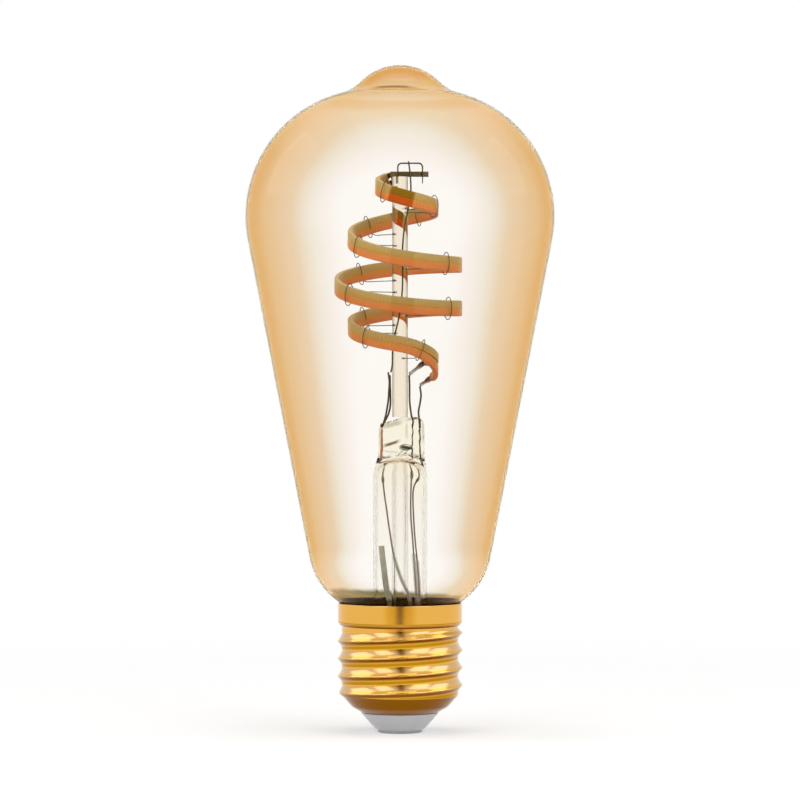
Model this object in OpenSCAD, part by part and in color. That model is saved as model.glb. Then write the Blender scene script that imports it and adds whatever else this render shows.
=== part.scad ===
// Smart filament lamp with an E27 screw cap: teardrop glass, twin spiral LED filaments and a driver.
// The lamp stands on its cap. The origin is the middle of the centre contact's bottom face, the front
// is -Y, and all sizes are in millimetres.

/* [Bulb glass] */
// Overall length, from the centre contact to the tip of the glass
lamp_h = 138; // [112:1:168]
// Widest diameter of the glass
bulb_d = 64; // [52:1:78]
// Distance from the tip down to the middle of the rounded shoulder
shoulder_drop = 31.3; // [29:0.1:34]
// Radius of the shoulder
shoulder_r = 26.3; // [24:0.1:27]
// Radius of the knob at the tip
tip_r = 11.4; // [10:0.1:13]
// Radius of the hollow between the knob and the shoulder
tip_hollow_r = 10.6; // [8:0.1:14]
// Radius of the mouth of the pocket in the knob
pocket_r = 5.3; // [4.6:0.1:5.6]
// Greatest radius of the foot, where the glass turns in towards the cap
foot_w = 19; // [17:0.1:22]
// Space between the glass and the cap's rim, where the foot passes it
rim_clear = 0.16; // [0.1:0.02:0.4]
// Radius of the foot's curve
foot_r = 14.5; // [13:0.1:15.2]
// Height of the bottom edge of the neck
neck_z = 17.5; // [17:0.1:18.5]
// Thickness of the bulb's glass
glass_wall = 0.8; // [0.5:0.05:1]

/* [Glass mount] */
// Outer radius of the flare tube
stem_r = 5.55; // [5.4:0.05:6.6]
// Thickness of the flare tube
stem_wall = 0.8; // [0.6:0.05:0.9]
// Half width of the press
press_w = 4.75; // [4.65:0.05:5.4]
// Half thickness of the press
press_t = 1.75; // [1.5:0.05:2]
// Height of the press above the open tube
press_h = 12.3; // [11:0.1:14]
// How far the press stands to the right of the rod
press_shift = 0.3; // [0:0.05:0.4]
// Outer radius of the exhaust tube
exhaust_r = 1.7; // [1.4:0.05:1.9]
// Inner radius of the exhaust tube
exhaust_bore_r = 1.1; // [0.8:0.05:1.2]
// Height of the sealed lower end of the exhaust tube
exhaust_z = 19; // [18:0.1:22]
// Radius of the rod that carries the hooks
post_r = 1.62; // [1.35:0.01:1.7]
// Length of the rod
post_l = 49.7; // [48:0.1:60]
// Distance from the tip of the glass down to the top of the rod
post_drop = 23.1; // [20:0.1:26]

/* [Filaments] */
// Height of each filament strip
filament_w = 1.55; // [1.2:0.01:1.9]
// Thickness of each filament strip
filament_t = 1.1; // [0.8:0.05:1.2]
// Space between the two strips
filament_gap = 0.08; // [0.04:0.02:0.4]
// Distance from the top of the rod down to where the spiral starts its first turn
spiral_drop = 2.8; // [2:0.1:4]
// Drop of the spiral in one turn
spiral_pitch = 9.6; // [9:0.1:10]
// Outer radius of the spiral at its top
spiral_top_r = 5.1; // [4.6:0.1:6]
// How much wider the spiral is at its middle
spiral_swell = 8.5; // [6:0.1:10]
// Rise of the back of a wide turn over its middle
spiral_lean = 2; // [0:0.1:2.6]
// Turns before the widest left point where the strips start
spiral_start = -0.12; // [-0.14:0.01:-0.05]
// Turn at which the strips start to dive to their leads
tail_start = 3.25; // [3:0.05:3.3]
// Turn at which the cool strip ends
cool_end = 3.6; // [3.5:0.01:3.7]
// Turn at which the warm strip ends
warm_end = 3.56; // [3.5:0.01:3.62]
// How far the cool strip dives
cool_dive = 2.5; // [1.5:0.1:3]
// How far the warm strip dives
warm_dive = 4.4; // [3:0.1:5]

/* [Wires] */
// Radius of a support hook's wire
hook_wire_r = 0.13; // [0.1:0.01:0.16]
// Depth of a hook's root in the rod
hook_root = 0.8; // [0.5:0.05:1.1]
// Space between a hook's loop and the strips
hook_clear = 0.29; // [0.15:0.01:0.4]
// Radius of a lead wire
lead_r = 0.2; // [0.15:0.01:0.25]
// Radius of the copper-clad wires in the press
seal_r = 0.27; // [0.2:0.01:0.3]
// Radius of the wire bracket on the rod
bracket_wire_r = 0.16; // [0.12:0.01:0.2]
// Space round a wire in its glass channel
channel_clear = 0.06; // [0.03:0.01:0.1]
// Radius of the sleeves on the leads
sleeve_r = 0.42; // [0.35:0.01:0.45]
// Width of the flat antenna sleeve
antenna_w = 1.25; // [0.9:0.05:1.3]

/* [Cap] */
// Outer radius of the shell at the thread's crest
crest_r = 13.05; // [12.9:0.05:13.1]
// Depth of the thread
thread_depth = 1; // [0.8:0.05:1.1]
// Pitch of the thread
thread_pitch = 3.629; // [3.6:0.001:3.66]
// Height of a crest on the right side
crest_z = 20.6; // [20:0.1:21]
// How far the plain collar lies inside the crest
collar_inset = 0.2; // [0:0.05:0.3]
// Height of the collar's foot
collar_z = 22; // [21.8:0.1:22.8]
// Height of the collar's rim
rim_z = 26.7; // [26.2:0.1:26.9]
// Thickness of the cement between the neck and the thread's root
cement_t = 0.45; // [0.3:0.05:0.6]
// Thickness of the brass
shell_wall = 0.3; // [0.2:0.01:0.35]
// Height of the lower edge of the brass
shell_z = 4.1; // [3.8:0.1:4.5]
// Inner radius of the lower edge of the brass
lip_r = 7.6; // [7:0.1:8]
// Radius of the flat of the insulator
insulator_r = 5.2; // [5:0.1:6]
// Radius of the centre contact
contact_r = 4.6; // [4.2:0.1:4.8]
// Thickness of the centre contact
contact_t = 0.6; // [0.4:0.05:0.8]
// Facets round the rolled shell
shell_sides = 36; // [32:2:48]
// Rows of facets for one turn of the thread
rows_per_pitch = 8; // [6:1:9]

/* [Electronics] */
// Space between the driver board's edge and the cap
board_clear = 2.35; // [1.9:0.05:3]
// Half width of its lower end
board_foot_w = 6.4; // [5.5:0.1:7]
// Height of the bottom edge of the board
board_z = 5.4; // [5:0.1:6]
// Height of the top edge of the board
board_top_z = 16.2; // [15:0.1:16.3]
// Thickness of the board
board_t = 1; // [0.8:0.1:1.2]
// Diameter of the storage capacitor
capacitor_d = 5; // [4:0.1:5.4]
// Length of the storage capacitor
capacitor_l = 8; // [6:0.1:8.4]

/* [Hidden] */
$fn = 64;
seat = 0.02;
hook_turns = [0.14, 0.46, 0.67, 0.87, 1.10, 1.39, 1.86, 2.10, 2.39, 2.87, 3.12, 3.33];
// Height of each hook's stem from the middle of the strips
hook_stem = [1, -1.3, 1, -1.85, 0.3, -0.95, -1.75, 0.6, -1.3, -1.7, 0.8, -1.7];
// How far each half turn of the hand-wound spiral sits off an even pitch
spiral_wander = [1.1, 1.2, -0.1, -1, -0.4, -0.4, 0.4, 0.3, 0.6];

glass = [0.96, 0.86, 0.70, 0.35];
clear_glass = [0.93, 0.93, 0.88, 0.45];
nickel = [0.32, 0.30, 0.28];
brass = [0.85, 0.58, 0.18];

// The cap's radii, from the thread inwards
root_r = crest_r - thread_depth;
collar_r = crest_r - collar_inset;
shell_bore = root_r - shell_wall;
neck_r = shell_bore - cement_t;
board_w = shell_bore - board_clear;

// Heights, from the tip downwards
post_top_z = lamp_h - post_drop;
press_top_z = post_top_z - post_l;
stem_top_z = press_top_z - press_h;
spiral_top_z = post_top_z - spiral_drop;
stem_bore = stem_r - stem_wall;
flare_r = neck_r - glass_wall - stem_r - 0.05;

// Centres of the arcs of the glass outline, as [r, z]
tip_c = [0, lamp_h - tip_r];
shoulder_c = [bulb_d / 2 - shoulder_r, lamp_h - shoulder_drop];
hollow_c = meeting(tip_c, shoulder_c, tip_r + tip_hollow_r, shoulder_r + tip_hollow_r);
foot_reach = collar_r - shell_wall - rim_clear - (foot_w - foot_r);
foot_c = [foot_w - foot_r, rim_z + sqrt(foot_r * foot_r - foot_reach * foot_reach)];
// Lean of the straight side, which touches both the shoulder and the foot
taper = asin((shoulder_r - foot_r) / norm(shoulder_c - foot_c))
    + atan2(shoulder_c[0] - foot_c[0], shoulder_c[1] - foot_c[1]);
neck_turn = 2;
neck_c = let (x = neck_r + neck_turn, d = foot_r + neck_turn)
    [x, foot_c[1] - sqrt(d * d - (x - foot_c[0]) * (x - foot_c[0]))];

// Places where the leads pass through the press and where they end, as [x, y, z]
common_x = -3.6;
cool_x = 2.55;
warm_x = 3.95;
weld_z = press_top_z - 2.3;
seal_z = stem_top_z + 3.3;
bore_c_z = stem_top_z - 1.2;

// ---- Points and curves ----

function unit(v) = v / norm(v);
function angle_to(v) = atan2(v[1], v[0]);
function ease(t) = let (s = min(max(t, 0), 1)) s * s * (3 - 2 * s);

// Points of an arc about c, from angle a to angle b in n steps
function arc(c, r, a, b, n) =
    [for (i = [0 : n]) let (t = a + (b - a) * i / n) c + r * [cos(t), sin(t)]];

// The point that lies a from p and b from q, on the outer side
function meeting(p, q, a, b) =
    let (d = norm(q - p), u = (q - p) / d, k = (a * a - b * b + d * d) / (2 * d))
    p + k * u + sqrt(a * a - k * k) * [-u[1], u[0]];

// A smooth curve through the points p, with n steps for each stretch
function curve(p, n) = concat(
    [for (i = [0 : len(p) - 2], k = [0 : n - 1]) curve_point(p, i, k / n)],
    [p[len(p) - 1]]
);
function curve_point(p, i, t) =
    let (a = p[max(i - 1, 0)], b = p[i], c = p[i + 1], d = p[min(i + 2, len(p) - 1)])
    0.5 * (2 * b + (c - a) * t + (2 * a - 5 * b + 4 * c - d) * t * t
        + (3 * b - a - 3 * c + d) * t * t * t);

function heading(p, i) = unit(p[min(i + 1, len(p) - 1)] - p[max(min(i, len(p) - 1) - 1, 0)]);
function square_to(t) = unit(cross(t, abs(t[1]) < 0.8 ? [0, 1, 0] : [1, 0, 0]));

// Two directions square to the curve at each point, carried along it without twist
function frames(p) = [
    for (i = 0, t = heading(p, 0), n = square_to(t); i < len(p);
        i = i + 1, t = heading(p, i), n = unit(n - (n * t) * t))
    [n, cross(t, n)]
];

// One ring of points for each point of the curve
function rings(p, radii, sides) =
    let (f = frames(p))
    [for (i = [0 : len(p) - 1]) [for (k = [0 : sides - 1]) let (a = 360 * k / sides)
        p[i] + radii[i] * (cos(a) * f[i][0] + sin(a) * f[i][1])]];
function same(p, r) = [for (i = [0 : len(p) - 1]) r];

// A radius list that swells to bead_r round the point at place b of the curve
function beaded(p, r, bead_r, b, reach) =
    [for (q = p) let (d = norm(q - b) / reach) d < 1 ? r + (bead_r - r) * sqrt(1 - d * d) : r];

// A closed solid through the rings. A looped one joins its last ring to its first
module loft(rows, looped = false) {
    m = len(rows[0]);
    n = len(rows);
    last = looped ? n - 1 : n - 2;
    points = [for (row = rows, q = row) q];
    sides = [for (i = [0 : last], k = [0 : m - 1])
        let (a = i * m, b = (i + 1) % n * m, l = (k + 1) % m)
        each [[a + k, b + k, b + l], [a + k, b + l, a + l]]];
    caps = looped ? [] : [[for (k = [0 : m - 1]) k], [for (k = [m - 1 : -1 : 0]) (n - 1) * m + k]];
    polyhedron(points, concat(sides, caps), convexity = 6);
}

module wire(p, r, sides = 6) {
    loft(rings(p, same(p, r), sides));
}

// A hollow sleeve along the curve
module sleeve(p, outer, inner) {
    out = rings(p, same(p, outer), 8);
    in = rings(p, same(p, inner), 8);
    loft(concat(out, [for (i = [len(p) - 1 : -1 : 0]) in[i]]), looped = true);
}

// A flat strip along the curve, t thick and with a width at each point, across the direction flat
module strip(p, widths, t, flat) {
    loft([for (i = [0 : len(p) - 1])
        let (h = heading(p, i), a = unit(flat - (flat * h) * h) * widths[i] / 2, b = cross(h, unit(a)) * t / 2)
        [p[i] + a + b, p[i] - a + b, p[i] - a - b, p[i] + a - b]]);
}
// Widths that ease from w to end_w between two points of the curve
function tapered(p, w, end_w, from, to) =
    [for (i = [0 : len(p) - 1]) w + (end_w - w) * ease((i - from) / (to - from))];

// ---- Glass ----

// Outline of the outside of the bulb, from the tip down to the neck
function bulb_outside() = let (
        turn = angle_to(hollow_c - tip_c),
        dip = angle_to(shoulder_c - hollow_c),
        shoulder = angle_to(hollow_c - shoulder_c),
        foot = angle_to(neck_c - foot_c)
    ) concat(
        arc(tip_c, tip_r, 90, turn, 6),
        arc(hollow_c, tip_hollow_r, turn - 180, dip, 6),
        arc(shoulder_c, shoulder_r, shoulder, -taper, 16),
        arc(foot_c, foot_r, -taper, foot, 8),
        arc(neck_c, neck_turn, foot + 180, 180, 5),
        [[neck_r, neck_z]]
    );

// Outline of the inside, from the neck up to the pocket under the tip
function bulb_inside() = let (
        foot = angle_to(neck_c - foot_c),
        lip = 0.7,
        inner_r = shoulder_r - glass_wall,
        roof = acos((pocket_r + lip - shoulder_c[0]) / inner_r),
        lip_c = shoulder_c + inner_r * [cos(roof), sin(roof)] + [0, lip],
        dome_r = tip_r - glass_wall,
        dome = acos((lip_c[0] + lip) / dome_r)
    ) concat(
        [[neck_r - glass_wall, neck_z]],
        arc(neck_c, neck_turn + glass_wall, 180, foot + 180, 5),
        arc(foot_c, foot_r - glass_wall, foot, -taper, 8),
        arc(shoulder_c, inner_r, -taper, roof, 18),
        arc(lip_c, lip, 270, 90, 6),
        arc(lip_c + [0, 2 * lip], lip, -90, 0, 3),
        arc(tip_c, dome_r, dome, 90, 6)
    );

module envelope() {
    color(glass)
        rotate_extrude()
            polygon(concat(bulb_outside(), bulb_inside()));
}

// Wall of the flare tube, from its top down and out to the neck's edge
module flare_outline() {
    c = [stem_r + flare_r, neck_z + flare_r];
    polygon(concat(
        [[stem_r, stem_top_z]],
        arc(c, flare_r, 180, 270, 8),
        [[neck_r, neck_z], [neck_r, neck_z - stem_wall]],
        arc(c, flare_r + stem_wall, 270, 180, 8),
        [[stem_bore, stem_top_z]]
    ));
}

// One edge of the press, which leaves the tube's width and eases to w within h, then rounds over the top
function press_edge(w, h, round_r) =
    let (out = stem_r + 0.4, low_z = stem_top_z - 0.5)
    concat(
        [for (i = [0 : 6]) [out + (w - out) * ease(i / 6), low_z + h * i / 6]],
        arc([w - round_r, press_top_z - round_r], round_r, 0, 90, 5)
    );
function mirrored(edge) = [for (i = [len(edge) - 1 : -1 : 0]) [-edge[i][0], edge[i][1]]];

// The pinched end of the tube, solid glass
module press_body() {
    right = press_edge(press_w + press_shift, 5.2, 1.2);
    left = press_edge(press_w - press_shift, 5.8, 1.9);
    face = press_edge(press_t, 6.6, press_t - 0.3);
    intersection() {
        translate([0, 0, stem_top_z])
            cylinder(r = stem_r, h = press_h + 1);
        rotate([90, 0, 0])
            linear_extrude(3 * stem_r, center = true)
                polygon(concat(right, mirrored(left)));
        rotate([90, 0, 90])
            linear_extrude(3 * stem_r, center = true)
                polygon(concat(face, mirrored(face)));
    }
}

// The hole that the lamp was emptied and filled through
module gas_way() {
    hole_z = press_top_z - 6.3;
    translate([0, 0, stem_top_z])
        cylinder(r = exhaust_bore_r, h = hole_z - stem_top_z);
    translate([0.9, 0, hole_z])
        rotate([90, 0, 0])
            cylinder(r = 0.75, h = 3 * press_t);
    translate([0, 0, hole_z])
        sphere(exhaust_bore_r);
}

module stem_flare() {
    color(clear_glass)
        difference() {
            union() {
                rotate_extrude()
                    flare_outline();
                press_body();
            }
            translate([0, 0, bore_c_z])
                sphere(stem_bore);
            gas_way();
            for (x = [common_x, cool_x, warm_x])
                translate([x, 0, stem_top_z - 1])
                    cylinder(r = seal_r + channel_clear, h = press_top_z);
            translate([common_x + 0.32, 0, weld_z - 0.3])
                cylinder(r = 0.85, h = 5);
        }
}

module exhaust_tube() {
    top_z = bore_c_z + sqrt(stem_bore * stem_bore - exhaust_r * exhaust_r) - 0.1;
    color(clear_glass)
        difference() {
            union() {
                translate([0, 0, exhaust_z + exhaust_r])
                    cylinder(r = exhaust_r, h = top_z - exhaust_z - exhaust_r);
                translate([0, 0, exhaust_z + exhaust_r])
                    sphere(exhaust_r);
            }
            translate([0, 0, exhaust_z + exhaust_r])
                cylinder(r = exhaust_bore_r, h = top_z);
        }
}

module centre_post() {
    color(clear_glass)
        difference() {
            translate([0, 0, press_top_z])
                cylinder(r = post_r, h = post_l);
            for (i = [0 : len(hook_turns) - 1])
                translate([0, 0, hook_stem_z(i)])
                    rotate([0, 90, spiral_angle(hook_turns[i])])
                        translate([0, 0, post_r - hook_root - channel_clear])
                            cylinder(r = hook_wire_r + channel_clear, h = post_r);
            translate([bracket_x[0], bracket_y, post_top_z - bracket_root - channel_clear])
                cylinder(r = bracket_wire_r + channel_clear, h = post_r + bracket_root);
        }
}

// ---- Filaments ----

function spiral_angle(u) = 180 + 360 * u;
// The strips start a little nearer the rod, to reach the bar
function spiral_r(u) =
    spiral_top_r + spiral_swell * pow(sin(45 * max(u, 0)), 1.15) + 10 * min(u, 0) - filament_t / 2;
function spiral_z(u) =
    spiral_top_z - spiral_pitch * u
    + curve_point(spiral_wander, max(floor(2 * u), 0), 2 * u - max(floor(2 * u), 0))
    + spiral_lean * sin(45 * max(u, 0)) * sin(spiral_angle(u));

// The middle of the pair at turn u, diving by dive within span turns
function pair_point(u, dive, span) =
    let (a = spiral_angle(u), r = spiral_r(u))
    [r * cos(a), r * sin(a), spiral_z(u) - dive * ease((u - tail_start) / span)];
function pair_heading(u, dive, span) =
    unit(pair_point(u + 0.01, dive, span) - pair_point(u - 0.01, dive, span));
function pair_up(u, dive, span) =
    let (a = spiral_angle(u)) unit(cross([cos(a), sin(a), 0], pair_heading(u, dive, span)));

// Each strip as [side, dive, span of the dive, end]: side is 1 for the upper one
cool = [1, cool_dive, 0.26, cool_end];
warm = [-1, warm_dive, 0.33, warm_end];

// The middle of one strip
function strip_point(u, s) =
    pair_point(u, s[1], s[2]) + s[0] * (filament_w + filament_gap) / 2 * pair_up(u, s[1], s[2]);

// The rounded section of a strip at turn u
function strip_ring(u, s) =
    let (up = pair_up(u, s[1], s[2]), out = cross(pair_heading(u, s[1], s[2]), up))
    [for (k = [0 : 7]) let (a = 22.5 + 45 * k)
        strip_point(u, s)
        + filament_w / 2 * sign(cos(a)) * sqrt(abs(cos(a))) * up
        + filament_t / 2 * sign(sin(a)) * sqrt(abs(sin(a))) * out];

module filament(s) {
    steps = 80;
    loft([for (i = [0 : steps]) strip_ring(spiral_start + (s[3] - spiral_start) * i / steps, s)]);
}

module cool_filament() {
    color([0.72, 0.62, 0.36])
        filament(cool);
}

module warm_filament() {
    color([0.88, 0.50, 0.25])
        filament(warm);
}

tab_gap = 0.17;

// Metal tab from the start of a strip to the bar
module start_tab(s) {
    a = strip_point(spiral_start, s);
    h = pair_heading(spiral_start, s[1], s[2]);
    b = [bar_x[0] + 0.5, bar_t / 2 + 0.25, bar_z + s[0] * 0.29];
    route = curve([a - tab_gap * h, a - 0.5 * h, (a + b) / 2 - 0.3 * h, b + [-0.3, 0.05, 0], b], 3);
    color(nickel)
        strip(route, tapered(route, 1.2, 0.46, 2, 8), 0.26, [0, 0, 1]);
}

module cool_start_tab() {
    start_tab(cool);
}

module warm_start_tab() {
    start_tab(warm);
}

// Metal tab from the end of a strip to its lead
module end_tab(s, lead_top) {
    a = strip_point(s[3], s);
    h = pair_heading(s[3], s[1], s[2]);
    b = lead_top + [0.1, 0.1, 0];
    route = curve([a + tab_gap * h, a + 0.7 * h, (a + b) / 2 + 0.35 * h, b], 4);
    color(nickel)
        strip(route, tapered(route, 1.2, 0.7, 6, 8), 0.24, pair_up(s[3], s[1], s[2]));
}

cool_lead_top = [1.9, 0.3, press_top_z + 8.9];
warm_lead_top = [4.1, 0.3, press_top_z + 6.6];

module cool_end_tab() {
    end_tab(cool, cool_lead_top);
}

module warm_end_tab() {
    end_tab(warm, warm_lead_top);
}

// ---- Support hooks ----

loop_out = filament_t / 2 + hook_clear + hook_wire_r;
loop_up = filament_w + filament_gap / 2 + hook_clear + hook_wire_r + 0.3;

function hook_stem_z(i) = pair_point(hook_turns[i], cool_dive, cool[2])[2] + hook_stem[i];

module support_hook(i) {
    u = hook_turns[i];
    a = spiral_angle(u);
    mid = pair_point(u, cool_dive, cool[2]);
    side = hook_stem[i] > 0 ? -1 : 1;
    out = [cos(a), sin(a), 0];
    up = pair_up(u, cool_dive, cool[2]);
    along = cross(up, out);
    axis = [0, 0, hook_stem_z(i)];
    r = spiral_r(u);
    stem = [for (k = [0 : 4]) axis + (post_r - hook_root + (r - 1.5 - post_r) * k / 4) * out];
    loop = [for (k = [0 : 13]) let (t = -135 + 325 * k / 13)
        mid + loop_out * cos(t) * out + side * loop_up * sin(t) * up + 0.035 * k * along];
    color(nickel)
        wire(concat(stem, loop), hook_wire_r, 5);
}

// ---- Top of the rod ----

bar_x = [-2.05, 5.9];
bar_t = 0.5;
bar_h = 1.1;
bracket_x = [-0.45, 4.66];
bracket_y = -bar_t / 2 - bracket_wire_r - seat;
bracket_top_z = post_top_z + 2.8;
bracket_root = 1.4;
bar_z = post_top_z + bar_h / 2;

module top_bracket() {
    corner = 0.8;
    color(nickel)
        wire(concat(
            [[bracket_x[0], bracket_y, post_top_z - bracket_root]],
            [for (q = arc([bracket_x[0] + corner, bracket_top_z - corner], corner, 180, 90, 4))
                [q[0], bracket_y, q[1]]],
            [for (q = arc([bracket_x[1] - corner, bracket_top_z - corner], corner, 90, 0, 4))
                [q[0], bracket_y, q[1]]],
            [[bracket_x[1], bracket_y, post_top_z - bracket_root]]
        ), bracket_wire_r);
}

// The strip stands on the rod. The bracket's two legs pass in front of it
module common_bar() {
    color(nickel)
        translate([bar_x[0], -bar_t / 2, post_top_z])
            cube([bar_x[1] - bar_x[0], bar_t, bar_h]);
}

// ---- Leads ----

// A height on the rod, given as at the drawn length
function on_rod(z) = press_top_z + (z - 65.2) * post_l / 49.7;

// Climbs the front of the rod from the hairpin to the bracket
module common_lead() {
    front = -post_r - lead_r - 0.1;
    top = bracket_y - bracket_wire_r - lead_r - seat;
    route = [
        [-1.9, front, on_rod(74.4)], [-1.6, front, on_rod(76)], [-1.5, front, on_rod(79.3)],
        [-1, front, on_rod(82.4)], [-0.2, front, on_rod(86)], [0.5, front, on_rod(92)],
        [0.5, front, on_rod(99)], [0.8, front, on_rod(103.4)], [1.5, front + 0.2, on_rod(107.3)],
        [2.2, front + 0.5, on_rod(111.5)], [2.15, top, post_top_z], [1.75, top, bracket_top_z + 0.4]
    ];
    color(nickel)
        wire(curve(route, 3), lead_r * 0.85);
}

// A hairpin of two wires, from the weld in the press up to the clip beside the rod
module common_inner_lead() {
    weld = [common_x, 0, weld_z];
    clip = [-2.45, -0.75, on_rod(74.5)];
    up = [weld + [0, 0, 0.4], weld + [0.35, -0.1, 1.6], weld + [0.75, -0.25, 3.1],
        weld + [1.15, -0.4, 5.6], weld + [1.3, -0.45, 7.6], weld + [1.4, -0.5, 9.6], clip];
    back = [weld + [0.1, 0.1, 0.6], weld + [0.7, 0.2, 1.9], weld + [1.2, 0.3, 2.9],
        weld + [1.58, 0.25, 4.6], weld + [1.62, 0.15, 6.8], weld + [1.55, 0.1, 9],
        clip + [0.35, 0.65, -0.6]];
    bead = curve([weld + [0, 0, 0.02], weld + [0, 0, 0.5], weld + [0.02, 0, 1]], 2);
    color(nickel) {
        union() {
            wire(curve(up, 4), lead_r);
            wire(curve(back, 4), lead_r);
            loft(rings(bead, [0.27, 0.45, 0.5, 0.4, 0.25], 8));
            wire([clip + [-0.05, 0.3, -0.3], clip + [0.2, -1.2, -0.25]], lead_r * 0.7);
        }
    }
}

// Runs from its weld in the press, at x, up to its tab
module inner_lead(x, bends, top) {
    route = concat(
        [[x, 0, weld_z], [x, 0, weld_z + 1.7]],
        [for (q = bends) q + [0, 0, press_top_z]],
        [top - [0, 0, lead_r]]
    );
    color(nickel)
        wire(curve(route, 4), lead_r);
}

module cool_inner_lead() {
    inner_lead(cool_x, [[2.3, 0.1, 0.7], [2, 0.3, 3.3], [1.98, 0.35, 6.4]], cool_lead_top);
}

module warm_inner_lead() {
    inner_lead(warm_x, [[3.85, 0.1, 1.2], [4.15, 0.2, 2.9], [4.35, 0.25, 4.6]], warm_lead_top);
}

module seal_wire(x) {
    color([0.55, 0.27, 0.16])
        translate([x, 0, seal_z])
            cylinder(r = seal_r, h = weld_z - seal_z - seat);
}

// A height inside the tube, given as at the drawn length. Near the cap it stays as it is
function in_stem(z) = z < 26 ? z : 26 + (z - 26) * (seal_z - 26) / (56.2 - 26);
function stem_route(p) = [for (q = p) [q[0], q[1], in_stem(q[2])]];

// Routes of the wires inside the tube, from the press down to the board
common_route = concat([[common_x, 0, seal_z - seat], [common_x, 0, seal_z - 3]], stem_route([
    [-3.3, -0.6, 50], [-2.7, -1.7, 46], [-2.1, -2.7, 41.8], [-1.2, -3.1, 36.5], [0.2, -3.4, 32],
    [1.7, -3.4, 28.4], [2.3, -3.1, 24.5], [2.6, -2.4, 20],
    [board_w - 7, -0.95, 17.4], [board_w - 7.1, -0.75, board_top_z - 0.9]
]));
cool_route = concat([[cool_x, 0, seal_z - seat], [cool_x, 0, seal_z - 2.2]], stem_route([
    [2.3, -0.5, 51.5], [2.2, -0.8, 45.5], [2.6, -0.9, 39.8], [3.2, -1, 31], [3.5, -1.2, 26],
    [3.9, -1.2, 20], [board_w - 5, -0.9, 17.4], [board_w - 5, -0.75, board_top_z - 0.9]
]));
warm_route = concat([[warm_x, 0, seal_z - seat], [warm_x, 0, seal_z - 3.2]], stem_route([
    [3, 0.7, 51], [2.7, 0.9, 48.4], [3.05, 0.9, 41.2], [3.6, 0.6, 35.4], [4, 0.3, 30],
    [4.05, 0, 25], [4.6, -0.4, 20.2], [board_w - 3.1, -0.8, 17.2],
    [board_w - 3.1, -0.75, board_top_z - 0.9]
]));
antenna_route = stem_route([
    [-3.93, 0.5, 38.5], [-3.65, 0.7, 35.8], [-3.34, 1, 33.3], [-2.86, 1.5, 29.6], [-2.1, 1.9, 26.5],
    [-2, 2, 22], [-1.5, 1.6, 18.6], [-0.6, 1.1, 16.4]
]);

module outer_lead(route) {
    bead = route[1] - [0, 0, 0.9];
    p = curve(route, 3);
    color([0.45, 0.40, 0.36])
        loft(rings(p, beaded(p, lead_r * 0.85, 0.33, bead, 0.7), 6));
}

// A sleeve over a lead from place a to place b of its smooth route
module lead_sleeve(route, a, b) {
    p = curve(route, 3);
    color([0.88, 0.84, 0.74])
        sleeve([for (i = [a : b]) p[i]], sleeve_r, lead_r * 0.85 + channel_clear);
}

module common_outer_lead() {
    outer_lead(common_route);
}

module cool_outer_lead() {
    outer_lead(cool_route);
}

module warm_outer_lead() {
    outer_lead(warm_route);
}

module common_sleeve() {
    lead_sleeve(common_route, 15, 27);
}

module cool_sleeve() {
    lead_sleeve(cool_route, 13, 22);
}

module warm_sleeve() {
    lead_sleeve(warm_route, 15, 23);
}

module common_seal_wire() {
    seal_wire(common_x);
}

module cool_seal_wire() {
    seal_wire(cool_x);
}

module warm_seal_wire() {
    seal_wire(warm_x);
}

// Flat sleeved wire of the radio, cut square at its top
module antenna() {
    route = curve(antenna_route, 2);
    color([0.55, 0.57, 0.50])
        strip(route, same(route, antenna_w), 0.7, [1, 0.3, 0]);
}

// ---- Cap ----

thread_low = crest_z - 3.45 * thread_pitch;
thread_high = collar_z - 0.2;

// Outside of the shell without its thread, as [z, r]
shell_outline = [
    [shell_z, lip_r + shell_wall], [shell_z + 0.65, lip_r + 1.4], [shell_z + 1.25, lip_r + 2.4],
    [thread_low - 0.4, root_r], [collar_z, root_r], [collar_z + 0.2, root_r + 0.4],
    [collar_z + 0.8, collar_r], [rim_z, collar_r]
];

// Rounded thread: narrow at its crest, wide at its root, fading out at both ends
function thread_rise(a, z) = let (
        phase = 360 * (z - crest_z) / thread_pitch - a,
        fade = ease((z - thread_low) / 1.6) * ease((thread_high - z) / 1.2)
    ) thread_depth * fade * pow((1 + cos(phase)) / 2, 1.6);

shell_rows = concat(
    [for (i = [0 : 2]) shell_outline[i][0]],
    [for (z = [thread_low : thread_pitch / rows_per_pitch : collar_z - 0.2]) z],
    [for (i = [4 : 7]) shell_outline[i][0]]
);

function shell_ring(z, wall) =
    [for (k = [0 : shell_sides - 1]) let (
            a = 360 * k / shell_sides,
            r = lookup(z, shell_outline) + thread_rise(a, z) - wall
        ) [r * cos(a), r * sin(a), z]];

// Rolled sheet brass: the inside follows the outside
module screw_shell() {
    last = len(shell_rows) - 1;
    color(brass)
        loft(concat(
            [for (i = [0 : last]) shell_ring(shell_rows[i], 0)],
            [for (i = [last : -1 : 0]) shell_ring(shell_rows[i], shell_wall)]
        ), looped = true);
}

insulator_top_z = shell_z + 1;
rivet_r = 1.6;

module cap_insulator() {
    rim = lip_r - 0.05;
    color([0.78, 0.79, 0.80])
        rotate_extrude()
            polygon(concat(
                [[rivet_r + seat, contact_t + seat], [insulator_r - 0.4, contact_t + seat]],
                arc([insulator_r - 0.4, contact_t + 0.5], 0.48, -90, -40, 3),
                [[lip_r + shell_wall, shell_z - 0.25], [lip_r + shell_wall, shell_z - seat],
                    [rim, shell_z - seat], [rim, insulator_top_z], [rim - 1.2, insulator_top_z],
                    [rim - 2, contact_t + 1.6], [rivet_r + seat, contact_t + 1.6]]
            ));
}

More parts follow.
